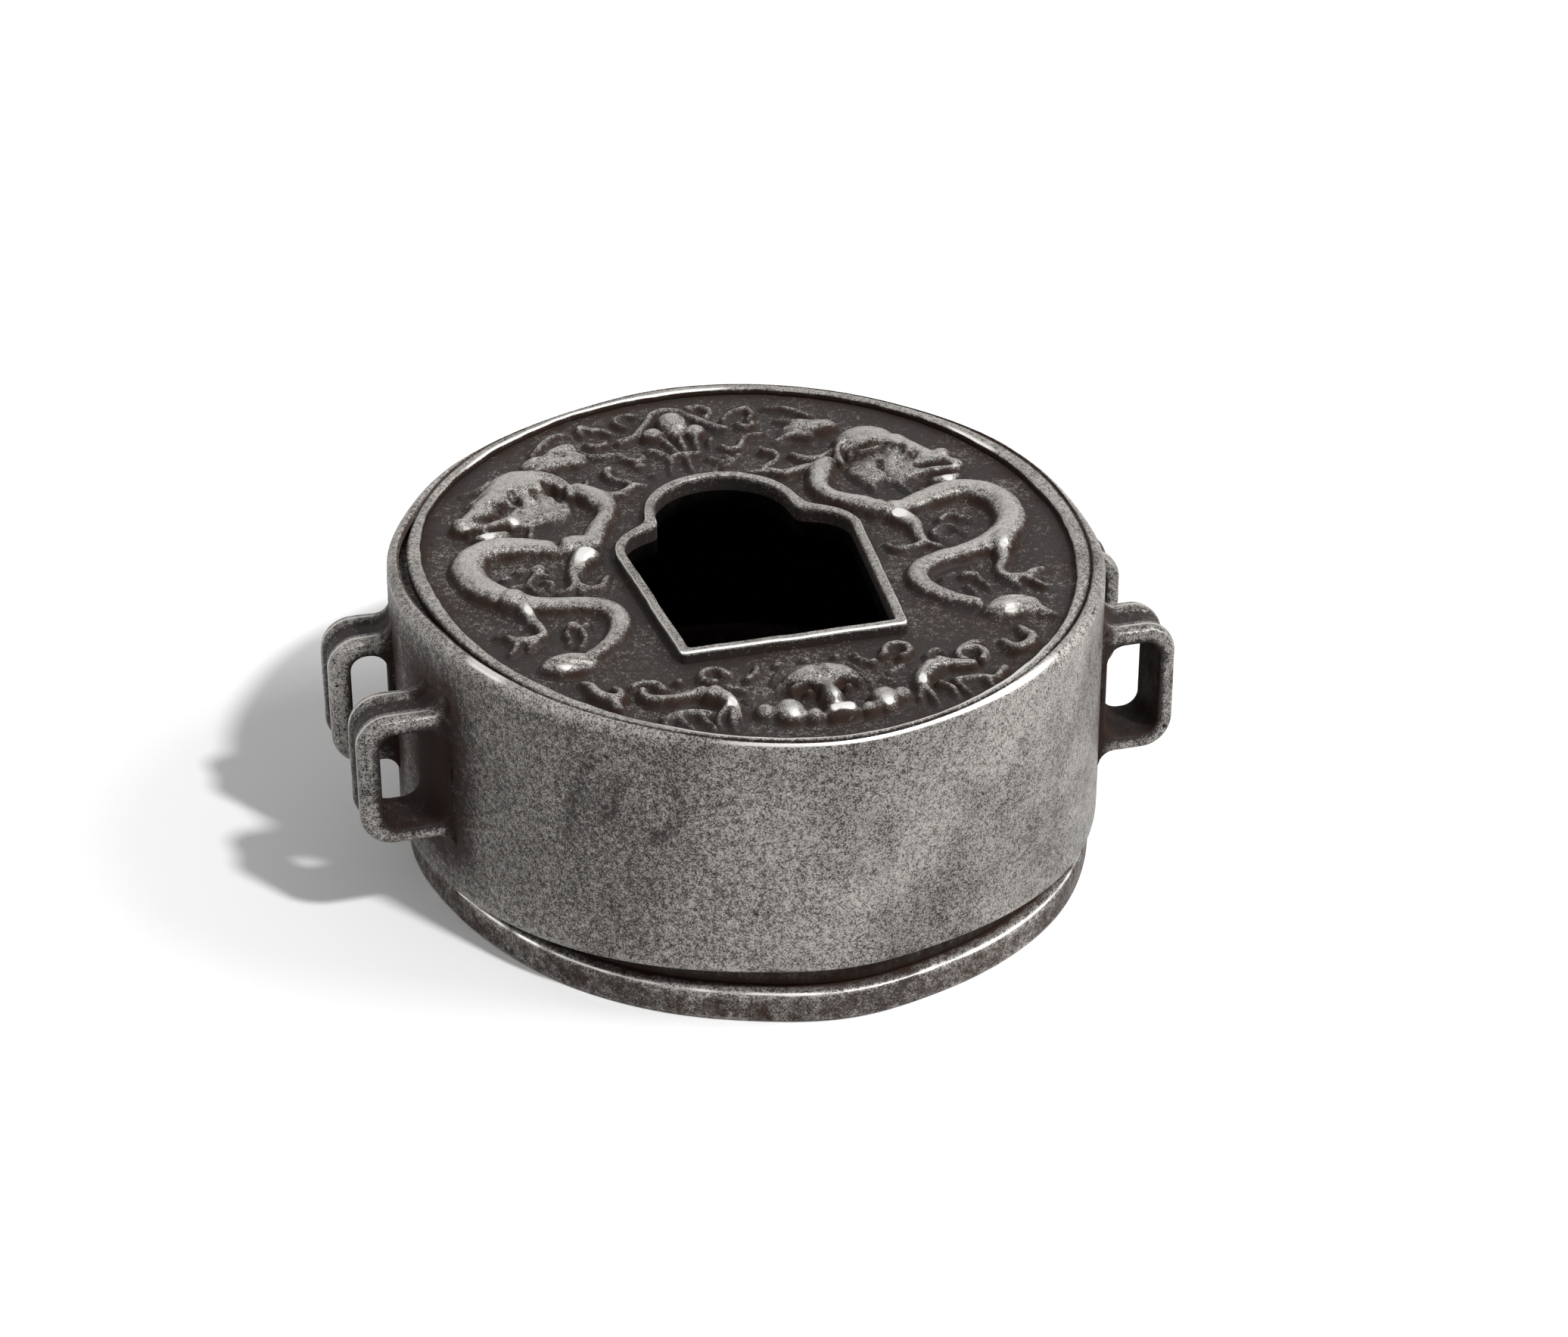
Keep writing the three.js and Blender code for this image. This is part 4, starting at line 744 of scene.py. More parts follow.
def iron_material(name, group, settings, bright, dark=1.0, wear_and_painted_light=None, rusting=None, speckle=0.5, patches=0.3,
                  bump=0.3):
    """A material of the iron group; the bare-metal mask, which also carries painted light and shade, and the rusting
    come from the mesh where no number is given.
    """
    material = bpy.data.materials.new(name)
    material.use_nodes = True
    tree = material.node_tree
    shader = tree.nodes["Principled BSDF"]
    iron = tree.nodes.new("ShaderNodeGroup")
    iron.node_tree = group
    iron.inputs["Bright"].default_value = (*(c * bright for c in settings.bright_iron), 1)
    iron.inputs["Dark"].default_value = (*(c * dark for c in settings.dark_iron), 1)
    iron.inputs["Rust"].default_value = (*(c * dark for c in settings.rust), 1)
    iron.inputs["Painted_Highlight"].default_value = (*settings.painted_highlight_iron, 1)
    iron.inputs["Speckle"].default_value = speckle
    iron.inputs["Patches"].default_value = patches
    for socket, label, value in (("Wear_And_Painted_Light", "wear_and_painted_light", wear_and_painted_light), ("Rusting", "rust", rusting)):
        if value is None:
            reader = tree.nodes.new("ShaderNodeAttribute")
            reader.attribute_name = label
            tree.links.new(reader.outputs["Fac"], iron.inputs[socket])
        else:
            iron.inputs[socket].default_value = value
    hollow = tree.nodes.new("ShaderNodeBump")
    hollow.inputs["Strength"].default_value = bump
    hollow.inputs["Distance"].default_value = 0.00012
    tree.links.new(iron.outputs["Height"], hollow.inputs["Height"])
    tree.links.new(iron.outputs["Color"], shader.inputs["Base Color"])
    tree.links.new(iron.outputs["Roughness"], shader.inputs["Roughness"])
    tree.links.new(iron.outputs["Metallic"], shader.inputs["Metallic"])
    tree.links.new(hollow.outputs["Normal"], shader.inputs["Normal"])
    shader.inputs["Specular IOR Level"].default_value = 0.2
    return material


def soot_material(settings):
    """Near-black, matt painted shade for the inside of the case."""
    material = bpy.data.materials.new("Painted_Black Inside")
    material.use_nodes = True
    tree = material.node_tree
    shader = tree.nodes["Principled BSDF"]
    place = tree.nodes.new("ShaderNodeTexCoord").outputs["Object"]
    shade_blotches = noise_node(tree, place, 400, 4, 0.7)
    tint = tree.nodes.new("ShaderNodeMix")
    tint.data_type = "RGBA"
    tint.inputs["A"].default_value = (*(c * 0.4 for c in settings.soot), 1)
    tint.inputs["B"].default_value = (*(c * 1.8 for c in settings.soot), 1)
    tree.links.new(ramp_node(tree, shade_blotches, 0.4, 0.7), tint.inputs["Factor"])
    tree.links.new(tint.outputs["Result"], shader.inputs["Base Color"])
    tree.links.new(ramp_node(tree, shade_blotches, 0.3, 0.7, 0.8, 1.0), shader.inputs["Roughness"])
    shader.inputs["Specular IOR Level"].default_value = 0.02
    return material


FINISHES = {}


class SHRINE_OT_iron_finish(bpy.types.Operator):
    """Makes the iron finishes and gives every piece read from the frame the rusty iron finish"""
    bl_idname = "shrine.iron_finish"
    bl_label = "Iron Finish"

    def execute(self, context):
        settings = context.scene.shrine_finish
        group = iron_group()
        FINISHES["band"] = iron_material("Worn Band Iron", group, settings, 1.0, speckle=0.8, patches=0.25)
        FINISHES["border"] = iron_material("Worn Border Iron", group, settings, 0.95, 0.6, speckle=0.7, patches=0.2)
        FINISHES["loop"] = iron_material("Strap Loop Iron", group, settings, 1.0, 0.6, speckle=0.75)
        FINISHES["relief"] = iron_material("Relief Iron", group, settings, 0.88, 0.65, speckle=0.85, patches=0.15,
                                           bump=0.9)
        FINISHES["cover"] = iron_material("Cover Iron", group, settings, 1.0, speckle=0.85, patches=0.4)
        FINISHES["flange"] = iron_material("Cover Flange Iron", group, settings, 0.4, 0.7, patches=0.4)
        FINISHES["rusty"] = iron_material("Rusty Iron", group, settings, 0.08, 0.2, 0.35, 0.35, patches=0.4)
        # Near-black painted shade for the inside of the case
        FINISHES["soot"] = soot_material(settings)
        for name, obj in nodes.items():
            obj.data.materials.clear()
            obj.data.materials.append(FINISHES["rusty"])
        return {"FINISHED"}


def paint_shade_inside(piece, hidden):
    """Gives the near-black painted shade to the faces of a piece that hidden(middle in millimetres, normal) picks."""
    piece.data.materials.append(FINISHES["soot"])
    for face in piece.data.polygons:
        face.material_index = int(hidden(face.center / MM, face.normal))


# Round pieces
SHOULDER = 1.2
BAND_ROUND = 0.5
LOOP_FEET = [[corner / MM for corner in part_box(name)] for name in nodes if name.startswith("strap_loop")]


def hammered(z):
    """Unevenness of the band's wall at a height, in millimetres."""
    return (0.10 * lumps(AROUND, z + 100, 16, 11, ROUND_LENGTH) + 0.05 * lumps(AROUND, z + 100, 6, 12, ROUND_LENGTH)
            + 0.02 * lumps(AROUND, z + 100, 2.2, 13, ROUND_LENGTH))


def near_loops(z):
    """1 at the feet of the strap loops, falling to 0 a few millimetres away."""
    near = np.zeros_like(AROUND)
    for low, high in LOOP_FEET:
        side = 1 if low.x > 0 else -1
        middle = math.atan2((low.y + high.y) / 2, side * 50) * 50
        along = np.abs((AROUND - middle + ROUND_LENGTH / 2) % ROUND_LENGTH - ROUND_LENGTH / 2)
        beside = np.maximum(along - (high.y - low.y) / 2, 0)
        above = np.maximum(np.maximum(low.z - z, z - high.z), 0)
        near = np.maximum(near, np.exp(-(beside ** 2 + above ** 2) / 32))
    return near


# Stains on the wall as (degrees round the case, height in millimetres) points
STAINS = [[(243.5, 36), (244.5, 34), (244.5, 31.5), (243, 29.5), (240.5, 28)],
          [(236, 36), (234, 33), (233, 29)], [(300, 35), (300.6, 30), (300.2, 26)],
          [(231, 38), (228, 33), (226, 26)], [(262, 24.5), (264, 25.2), (266, 24.2)]]
STAIN_WIDTH = 1.0


def stained(z):
    """1 on the wall's drips and stains at a height, falling to 0 beside them."""
    stain = np.zeros_like(AROUND)
    for points in STAINS:
        for degrees, height, *_ in curve_through([(*p, 0, 0) for p in points], 0.6):
            along = AROUND - degrees / 360 * ROUND_LENGTH
            stain = np.maximum(stain, np.exp(-(along ** 2 + (z - height) ** 2) / STAIN_WIDTH ** 2))
    return stain


class SHRINE_OT_side_band(bpy.types.Operator):
    """Models the side band: hammered wall, rounded shoulder, thin lip and arched lower edge"""
    bl_idname = "shrine.side_band"
    bl_label = "Side Band"

    def execute(self, context):
        outer = ring_line("side_band", STEPS_ROUND, lambda r, z: r.max())
        wall = outer - ring_line("side_band", STEPS_ROUND, lambda r, z: r.min())
        lip = outer - ring_line("side_band", STEPS_ROUND, lambda r, z: r[z > GROUND + 0.3].min())
        low = ring_line("side_band", STEPS_ROUND, lambda r, z: z.min())
        ledge = PLATE_BOTTOM - 0.3
        top = CASE_TOP - SHOULDER
        degrees = AROUND / ROUND_LENGTH * 360
        # Painted shade: the wall is darkened from about 150° round to 285°, the left and front-left side, where the
        # key light falls least
        painted_shade = ease(degrees, 150, 172) * (1 - ease(degrees, 238, 285))
        # Painted highlight: the shoulder is brightened toward the pale highlight colour at the front (238° to 318°)
        # and at 200° to 217°, where the lights glint on it
        painted_highlight = np.maximum(ease(degrees, 238, 262) * (1 - ease(degrees, 300, 318)),
                            0.8 * ease(degrees, 200, 206) * (1 - ease(degrees, 211, 217)))
        section = Section()
        section.add(outer - wall, low, 0, 0.3)
        section.add(outer - wall / 2, low, 0.1, 0.3)
        for turn in np.radians(np.linspace(-90, 0, 6)):
            section.add(outer - BAND_ROUND + BAND_ROUND * math.cos(turn),
                        low + BAND_ROUND + BAND_ROUND * math.sin(turn), 0.85, 0.2)
        for share in np.linspace(0, 1, 36)[1:-1]:
            z = low + BAND_ROUND + (top - low - BAND_ROUND) * share
            belly = math.sin(math.pi * share) ** 0.3
            foot = near_loops(z)
            stain = stained(z)
            section.add(outer + belly * hammered(z), z, 0.86 - 0.3 * painted_shade - 0.6 * foot - 0.2 * stain,
                        0.1 + 0.25 * foot + 0.12 * stain)
        reach = np.arccos(np.clip(1 - lip / SHOULDER, -1, 1))
        for share in np.linspace(0, 1, 18):
            turn = reach * share
            rough = 0.05 * share * lumps(AROUND, np.zeros_like(AROUND), 1.6, 14, ROUND_LENGTH)
            hollow = 0.1 * SHOULDER * np.sin(2 * turn) ** 2
            section.add(outer - SHOULDER + (SHOULDER - hollow) * np.cos(turn) + rough * (1 - painted_highlight),
                        top + (SHOULDER - hollow) * np.sin(turn),
                        0.78 + 0.42 * painted_highlight * ease(share, 0.15, 0.5) * (1 - 0.7 * ease(share, 0.75, 1)), 0.05)
        crest = top + SHOULDER * np.sin(reach)
        beyond = np.maximum(lip - SHOULDER, 0.02)
        edge = np.minimum(lip, SHOULDER)
        for share in (0.4, 0.8):
            section.add(outer - edge - beyond * share, crest - 0.05 * share, 0.55 - 0.3 * share, 0.25)
        section.add(outer - lip, crest - 0.15, 0.25, 0.3)
        section.add(outer - lip - 0.08, crest - 0.3, 0.15, 0.35)
        # A tongue fills the seam beside the ring
        section.add(outer - lip - 0.36, crest - 0.36, 0.1, 0.35)
        section.add(outer - lip - 0.36, crest - 0.6, 0.1, 0.35)
        section.add(outer - lip, crest - 1.0, 0.1, 0.35)
        section.add(outer - lip, ledge, 0, 0.35)
        section.add(outer - wall, ledge, 0, 0.35)
        section.add(outer - wall, (ledge + low) / 2, 0, 0.35)
        piece = finish_piece("hammered_band", section.mesh(), FINISHES["band"], "case", "worn_iron", "side_band")
        paint_shade_inside(piece, lambda middle, normal: middle.z < ledge and normal.xy.dot(middle.xy) < -10)
        return {"FINISHED"}


class SHRINE_OT_border(bpy.types.Operator):
    """Models the border ring laid round the relief"""
    bl_idname = "shrine.border"
    bl_label = "Border Ring"

    def execute(self, context):
        outer = ring_line("border_ring", STEPS_ROUND, lambda r, z: r.max())
        inner = ring_line("border_ring", STEPS_ROUND, lambda r, z: r.min())
        top = ring_line("border_ring", STEPS_ROUND, lambda r, z: z.max())
        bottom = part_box("border_ring")[0].z / MM
        wobble = 0.10 * lumps(AROUND, np.zeros_like(AROUND), 5, 21, ROUND_LENGTH)
        wobble = wobble + 0.06 * lumps(AROUND, np.zeros_like(AROUND), 1.7, 22, ROUND_LENGTH)
        inner = inner + wobble
        width = outer - inner
        degrees = AROUND / ROUND_LENGTH * 360
        # Painted highlights: the ring's top is brightened at the front (225° to 325°), and its inner bevel at the back
        # (76° to 138°) and at 22° to 40°, where the lights glint
        front = ease(degrees, 225, 255) * (1 - ease(degrees, 300, 325))
        back = ease(degrees, 76, 84) * (1 - ease(degrees, 126, 138))
        back = np.maximum(back, 0.6 * ease(degrees, 22, 27) * (1 - ease(degrees, 34, 40)))
        section = Section()
        section.add(inner, bottom, 0, 0.5)
        section.add(outer, bottom, 0, 0.4)
        section.add(outer, top - 0.45, 0.1, 0.4)
        for share, drop, worn_and_painted_light in ((0, 0.3, 0.15), (0.04, 0.2, 0.2), (0.1, 0.1, 0.35), (0.2, 0.04, 0.6), (0.32, 0, 0.8),
                                  (0.5, 0, 0.8), (0.7, 0.0, 0.85), (0.82, 0.02, 0.9), (0.91, 0.1, 0.9),
                                  (0.97, 0.22, 0.8)):
            uneven = 0.035 * (lumps(AROUND, np.full_like(AROUND, share * 3), 3, 23, ROUND_LENGTH) - 1)
            painted_highlight = 0.3 * front * ease(share, 0.2, 0.5) + 0.5 * back * ease(share, 0.6, 0.85)
            section.add(outer - width * share, top - drop + uneven * min(1, share * 8), worn_and_painted_light + painted_highlight, 0.12)
        section.add(inner, top - 0.4, 0.3, 0.4)
        section.add(inner + 0.03, top - 0.75, 0.05, 0.5)
        piece = section.mesh()
        finish_piece("border_strip", piece, FINISHES["border"], "case", "worn_iron", "border_ring")
        return {"FINISHED"}


class SHRINE_OT_cover(bpy.types.Operator):
    """Models the back cover's moulded rim and its flange"""
    bl_idname = "shrine.cover"
    bl_label = "Back Cover"

    def execute(self, context):
        outer = ring_line("back_rim", STEPS_ROUND, lambda r, z: r.max())
        inner = ring_line("back_rim", STEPS_ROUND, lambda r, z: r.min())
        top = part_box("back_rim")[1].z / MM
        rough = 0.05 * lumps(AROUND, np.zeros_like(AROUND), 2.4, 31, ROUND_LENGTH)
        section = Section()
        section.add(inner, 0, 0.3, 0.4)
        section.add(outer - 1.2, 0, 0.3, 0.4)
        for turn in np.radians(np.linspace(-90, 0, 6)[1:]):
            section.add(outer - 0.55 + 0.45 * math.cos(turn), 0.45 + 0.45 * math.sin(turn), 0.85, 0.3)
        for share in np.linspace(0, 1, 9)[1:-1]:
            z = 0.45 + (top - 1.2 - 0.45) * share
            section.add(outer - 0.1 + 0.1 * math.sin(math.pi * share / 2) + rough * math.sin(math.pi * share),
                        z + 0 * outer, 0.5, 0.32)
        # The rounded top edge carries a painted highlight, brightest about 40° round it, with less rust there
        for turn in np.radians(np.linspace(0, 90, 13)):
            edge = math.exp(-((turn - 0.7) / 0.22) ** 2)
            section.add(outer - 1.2 + 1.2 * math.cos(turn), top - 1.2 + 1.2 * math.sin(turn) + 0 * outer,
                        0.6 + 0.55 * edge + 0.15 * rough / 0.05, 0.28 - 0.2 * edge)
        section.add(outer - 1.8, top, 0.3, 0.5)
        section.add((outer + inner) / 2, top, 0.1, 0.6)
        section.add(inner + 0.2, top, 0.3, 0.5)
        section.add(inner, top - 0.2, 0.4, 0.5)
        finish_piece("cover_rim", section.mesh(), FINISHES["cover"], "back_cover", "cover_iron", "back_rim")

        outer = ring_line("back_flange", STEPS_ROUND, lambda r, z: r.max())
        inner = ring_line("back_flange", STEPS_ROUND, lambda r, z: r.min())
        low, top = (corner.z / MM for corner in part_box("back_flange"))
        section = Section()
        section.add(inner, low, 0.2, 0.5)
        section.add(outer, low, 0.2, 0.5)
        for share in np.linspace(0, 1, 12)[1:-1]:
            section.add(outer - 0.03 + 0.03 * lumps(AROUND, np.full_like(AROUND, share * 11), 5, 32, ROUND_LENGTH),
                        low + (top - 0.4 - low) * share, 0.4, 0.4)
        middle, half = (outer + inner) / 2, (outer - inner) / 2
        for turn in np.radians(np.linspace(0, 180, 9)):
            section.add(middle + half * math.cos(turn), top - 0.4 + 0.4 * math.sin(turn), 0.7, 0.3)
        section.add(inner, (top + low) / 2, 0.3, 0.5)
        piece = finish_piece("cover_flange", section.mesh(), FINISHES["flange"], "back_cover", "rusty_iron",
                             "back_flange")
        paint_shade_inside(piece, lambda middle, normal: normal.xy.dot(middle.xy) < 0)
        return {"FINISHED"}


# Front plate and window
class SHRINE_OT_ground(bpy.types.Operator):
    """Models the front plate's hammered ground between the window and the border"""
    bl_idname = "shrine.ground"
    bl_label = "Front Ground"

    def execute(self, context):
        window = window_outline(-0.3)
        angle = np.arctan2(window[:, 1], window[:, 0])
        turn = np.linspace(0, 2 * math.pi, STEPS_ROUND + 1)
        ring = ring_line("border_ring", STEPS_ROUND, lambda r, z: r.min())
        lip = ring_line("side_band", STEPS_ROUND, lambda r, z: r[z > GROUND + 0.3].min())
        ring, lip = (np.interp(angle % (2 * math.pi), turn, line) for line in (ring, lip))
        outward = np.stack([np.cos(angle), np.sin(angle)], -1)
        edge, far = outward * (ring + 0.3)[:, None], outward * (lip - 0.3)[:, None]
        seat = GROUND - 0.4
        rows = [(window, PLATE_BOTTOM), (window, GROUND - 0.3)]
        for share in np.linspace(0, 1, 76):
            rows.append((window + (edge - window) * share, GROUND))
        rows += [(edge, seat), ((edge + far) / 2, seat), (far, seat), (far, PLATE_BOTTOM)]
        plan = np.array([line for line, z in rows]).transpose(1, 0, 2)
        height = np.tile([z for line, z in rows], (len(window), 1))
        x, y = plan[..., 0], plan[..., 1]
        on_ground = np.zeros(len(rows))
        on_ground[2:-4] = np.sin(np.linspace(0, math.pi, len(rows) - 6)) ** 0.2
        height = height + on_ground * ground_roughness(x, y)
        near_border = ease(np.hypot(x, y), (ring - 3)[:, None], (ring - 0.2)[:, None])
        near_window = 1 - ease(np.hypot(x - window[:, :1], y - window[:, 1:]), 0.2, 2.6)
        rust = 0.16 + 0.12 * np.maximum(near_border, near_window) + 0.1 * lumps(x, y, 7, 41)
        wear_and_painted_light = 0.1 + 0.12 * lumps(x, y, 5, 42) - 0.1 * np.maximum(near_border, near_window)
        in_groove = np.hypot(x, y) > (ring + 1)[:, None]
        wear_and_painted_light, rust = np.where(in_groove, 0.3, wear_and_painted_light), np.where(in_groove, 0.2, rust)
        points, wear_and_painted_light, rust = (np.concatenate([a, a[:1]]) for a in (np.dstack([plan, height]), wear_and_painted_light, rust))
        bm = closed_ring(points, {"wear_and_painted_light": wear_and_painted_light, "rust": rust})
        piece = finish_piece("relief_ground", bm, FINISHES["relief"], "case", "relief_iron", "front_plate")
        paint_shade_inside(piece, lambda middle, normal: middle.z < GROUND - 0.45 or normal.z < -0.3)
        return {"FINISHED"}


class SHRINE_OT_window(bpy.types.Operator):
    """Models the window's raised frame with bare edges brightened by painted highlights and a near-black painted-shade
    inside
    """
    bl_idname = "shrine.window"
    bl_label = "Window Frame"

    def execute(self, context):
        low, top = (corner.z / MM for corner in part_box("window_frame"))
        outline = window_outline(0)
        run = np.concatenate([[0], np.cumsum(np.hypot(*np.diff(outline, axis=0).T))])
        length = run[-1] + np.hypot(*(outline[0] - outline[-1]))
        ragged = 0.05 * lumps(run, 0 * run, 3, 51, length) + 0.035 * lumps(run, 0 * run, 1.1, 52, length)
        worn_low = 0.05 * (lumps(run, 0 * run, 4, 53, length) - 1)
        lines = [(0, low, 0, 0.3), (0, top - 1.8, 0.0, 0.3), (0, top - 1.0, 0.0, 0.25), (0, top - 0.5, 0.15, 0.2)]
        # The rounded top edge, bare and brightest at the middle of its rounding, that brightening a painted highlight
        for turn in np.radians(np.linspace(0, 90, 6)):
            lines.append((-FRAME_ROUND + FRAME_ROUND * math.cos(turn),
                          top - FRAME_ROUND + FRAME_ROUND * math.sin(turn), 0.75 + 0.35 * math.sin(2 * turn), 0.1))
        lines += [(-FRAME_WALL * 0.4, top + 0.01, 0.75, 0.15), (-FRAME_WALL * 0.6, top, 0.8, 0.15)]
        for turn in np.radians(np.linspace(90, 180, 6)):
            lines.append((-FRAME_WALL + FRAME_ROUND + FRAME_ROUND * math.cos(turn),
                          top - FRAME_ROUND + FRAME_ROUND * math.sin(turn), 0.75 - 0.2 * (turn > 2.8), 0.25))
        lines += [(-FRAME_WALL, top - 0.8, 0.1, 0.25), (-FRAME_WALL, top - 1.6, 0.05, 0.2),
                  (-FRAME_WALL, (low + top) / 2, 0, 0.2), (-FRAME_WALL, low, 0, 0.2)]
        points, wear_and_painted_light, rust = [], [], []
        for grow, z, worn_and_painted_light, rusted in lines:
            plan = window_outline(grow + 0.001)
            outward = plan - plan.mean(0)
            outward /= np.hypot(*outward.T)[:, None]
            upper = ease(z, top - 1.2, top - 0.4)
            place = plan + outward * (ragged * upper)[:, None]
            points.append(np.column_stack([place, z + worn_low * upper]))
            # Painted highlight along the outer edge of the frame's base
            base = 1 - ease(plan[:, 1], BASE_Y - 0.1, BASE_Y + 0.9)
            wear_and_painted_light.append(worn_and_painted_light + 0.5 * base * (worn_and_painted_light > 0.74) * (grow > -FRAME_ROUND * 1.5))
            rust.append(np.full(len(run), rusted))
        points = np.array(points).transpose(1, 0, 2)
        points, wear_and_painted_light, rust = (np.concatenate([a, a[:1]]) for a in (points, np.array(wear_and_painted_light).T, np.array(rust).T))
        bm = closed_ring(points, {"wear_and_painted_light": wear_and_painted_light, "rust": rust})
        piece = finish_piece("window_collar", bm, FINISHES["border"], "case", "worn_iron", "window_frame")
        paint_shade_inside(piece, lambda middle, normal: middle.z < top - 2.4)
        return {"FINISHED"}


class SHRINE_OT_relief(bpy.types.Operator):
    """Carves the relief figures: two dragons, the flaming jewel, the beast mask and the scrolls"""
    bl_idname = "shrine.relief"
    bl_label = "Relief Figures"

    def execute(self, context):
        settings = context.scene.shrine_relief
        figures = {"left_dragon": LEFT_DRAGON, "right_dragon": RIGHT_DRAGON, "flaming_jewel": JEWEL,
                   "beast_mask": MASK, "cloud_scrolls": SCROLLS}
        for name, figure in figures.items():
            finish_piece(name, figure_mesh(figure, settings), FINISHES["relief"], "case", "relief_iron",
                         "front_plate")
        return {"FINISHED"}


# Strap loops
LOOP_BAR = 2.4
LOOP_CORNER = 4.5
LOOP_HOLE_CORNER = 2.2
LOOP_FLARE = 2.2
LOOP_FILLET = 2.6
LOOP_FOOT = 0.8
LOOP_RIB = 2.9
LOOP_GROOVE = 0.5
LEG_THICKNESS = {-1: 3.0, 1: 2.4}


def loop_sink(across, depth):
    """How far the loop's outer face lies below its ribs' crests, at a place across the strap."""
    near = np.minimum(across, depth - across)
    crest = np.sqrt(np.clip(1 - ((near - LOOP_RIB / 2) / (LOOP_RIB / 2)) ** 2, 0, 1))
    outside, inside = 0.75 * (1 - crest), LOOP_GROOVE * (1 - crest)
    return np.where(near < LOOP_RIB / 2, outside, np.where(near < LOOP_RIB, inside, LOOP_GROOVE))


def wall_reach(y, side, outer):
    """How far the band's outer face is from the middle at a place along the loop."""
    turn = np.linspace(0, 2 * math.pi, len(outer))
    reach = np.full_like(y, 50.0)
    for _ in range(4):
        angle = np.arctan2(y, side * reach) % (2 * math.pi)
        reach = np.sqrt(np.interp(angle, turn, outer) ** 2 - y ** 2)
    return reach


def loop_stations(wall, reach, thick, low, high):
    """Inner and outer points (out, up) of the strap's faces at steps round the loop, from its lower foot."""
    def bar(t, z, way):
        inner = wall + LOOP_FOOT + (reach - thick - LOOP_HOLE_CORNER - wall - LOOP_FOOT) * t
        outer = wall - 0.4 + (reach - LOOP_CORNER - wall + 0.4) * t
        away = np.clip(1 - (outer - wall) / LOOP_FLARE, 0, 1)
        flare = LOOP_FLARE * (1 - np.sqrt(1 - away ** 2))
        close = np.clip(1 - (inner - wall - LOOP_FOOT) / LOOP_FILLET, 0, 1)
        fillet = LOOP_FILLET * (1 - np.sqrt(1 - close ** 2))
        return inner, z + way * (LOOP_BAR + fillet), outer, z - way * flare

    def corner(z, way, turn):
        out, up = math.cos(turn), -way * math.sin(turn)
        inner_z, outer_z = z + way * (LOOP_BAR + LOOP_HOLE_CORNER), z + way * LOOP_CORNER
        return (reach - thick - LOOP_HOLE_CORNER * (1 - out), inner_z + LOOP_HOLE_CORNER * up,
                reach - LOOP_CORNER * (1 - out), outer_z + LOOP_CORNER * up)

    def between(first, last, count):
        return [[a + (b - a) * t for a, b in zip(first, last)] for t in np.linspace(0, 1, count)[1:-1]]

    steps = [bar(t, low, 1) for t in np.linspace(0, 1, 22)]
    steps += [corner(low, 1, turn) for turn in np.radians(np.linspace(90, 0, 14))[1:]]
    steps += between(corner(low, 1, 0), corner(high, -1, 0), 24)
    steps += [corner(high, -1, turn) for turn in np.radians(np.linspace(0, 90, 14))[:-1]]
    steps += [bar(t, high, -1) for t in np.linspace(1, 0, 22)]
    steps += between(steps[-1], steps[0], 14)
    return steps


def loop_mesh(name, outer):
    """One strap loop: its grooved section carried round the loop, with its feet sunk in the band's wall."""
    co = np.array([v.co[:] for v in nodes[name].data.vertices]) / MM
    side = 1 if co[0, 0] > 0 else -1
    reach = np.abs(co[:, 0]).max()
    outside = np.abs(co[:, 0]) > reach - LOOP_CORNER - 0.05
    low, high = co[outside, 2].min(), co[outside, 2].max()
    near, depth = co[:, 1].min(), np.ptp(co[:, 1])
    rim = [(0.1, 0.04), (0, 0.14), (0, 0.3), (0, 0.5)]
    face = [(y, 0) for y in np.linspace(0.35, depth - 0.35, 12)]
    ribs = [(y, 1) for y in (1 - np.cos(np.linspace(0, math.pi, 44))) / 2 * depth]
    section = np.array(face + [(depth - y, d) for y, d in rim] + ribs[::-1] + rim[::-1])
    across, share = section.T
    on_ribs = share == 1
    sink = np.where(on_ribs, loop_sink(across, depth), 0)
    wall = wall_reach(near + across, side, outer)
    beside = np.minimum(across, depth - across)
    # Painted highlight: a narrow bright line along each rib's crest
    crest = np.exp(-((beside - LOOP_RIB / 2) / 0.3) ** 2)
    worn_and_painted_light = np.where(on_ribs, 0.5 - 0.9 * sink + 0.65 * crest, 0.05 + 1.3 * ease(share, 0.05, 0.6) * 0.65)
    worn_and_painted_light = np.where(on_ribs & (beside < LOOP_RIB / 2), 0.75 + 0.4 * crest, worn_and_painted_light)
    points, wear_and_painted_light, rust = [], [], []
    steps = loop_stations(wall, reach, LEG_THICKNESS[side], low, high)
    for k, (inner_u, inner_z, outer_u, outer_z) in enumerate([*steps, steps[0]]):
        thick = np.hypot(outer_u - inner_u, outer_z - inner_z)
        t = share * (1 - sink / thick)
        u, z = inner_u + (outer_u - inner_u) * t, inner_z + (outer_z - inner_z) * t
        uneven = 0.06 * lumps(across, np.full_like(across, k % len(steps)) * 0.6, 4, 61)
        y = near + across
        foot = np.exp(-(np.maximum(u - wall, 0) / 1.6) ** 2)
        points.append(np.column_stack([side * (u + 0.5 * uneven * share), y, z + uneven * share]))
        wear_and_painted_light.append(worn_and_painted_light - 0.5 * foot)
        rust.append(0.15 + 0.3 * foot + 0.2 * (share < 0.1))
    return closed_ring(np.array(points), {"wear_and_painted_light": np.array(wear_and_painted_light), "rust": np.array(rust)})


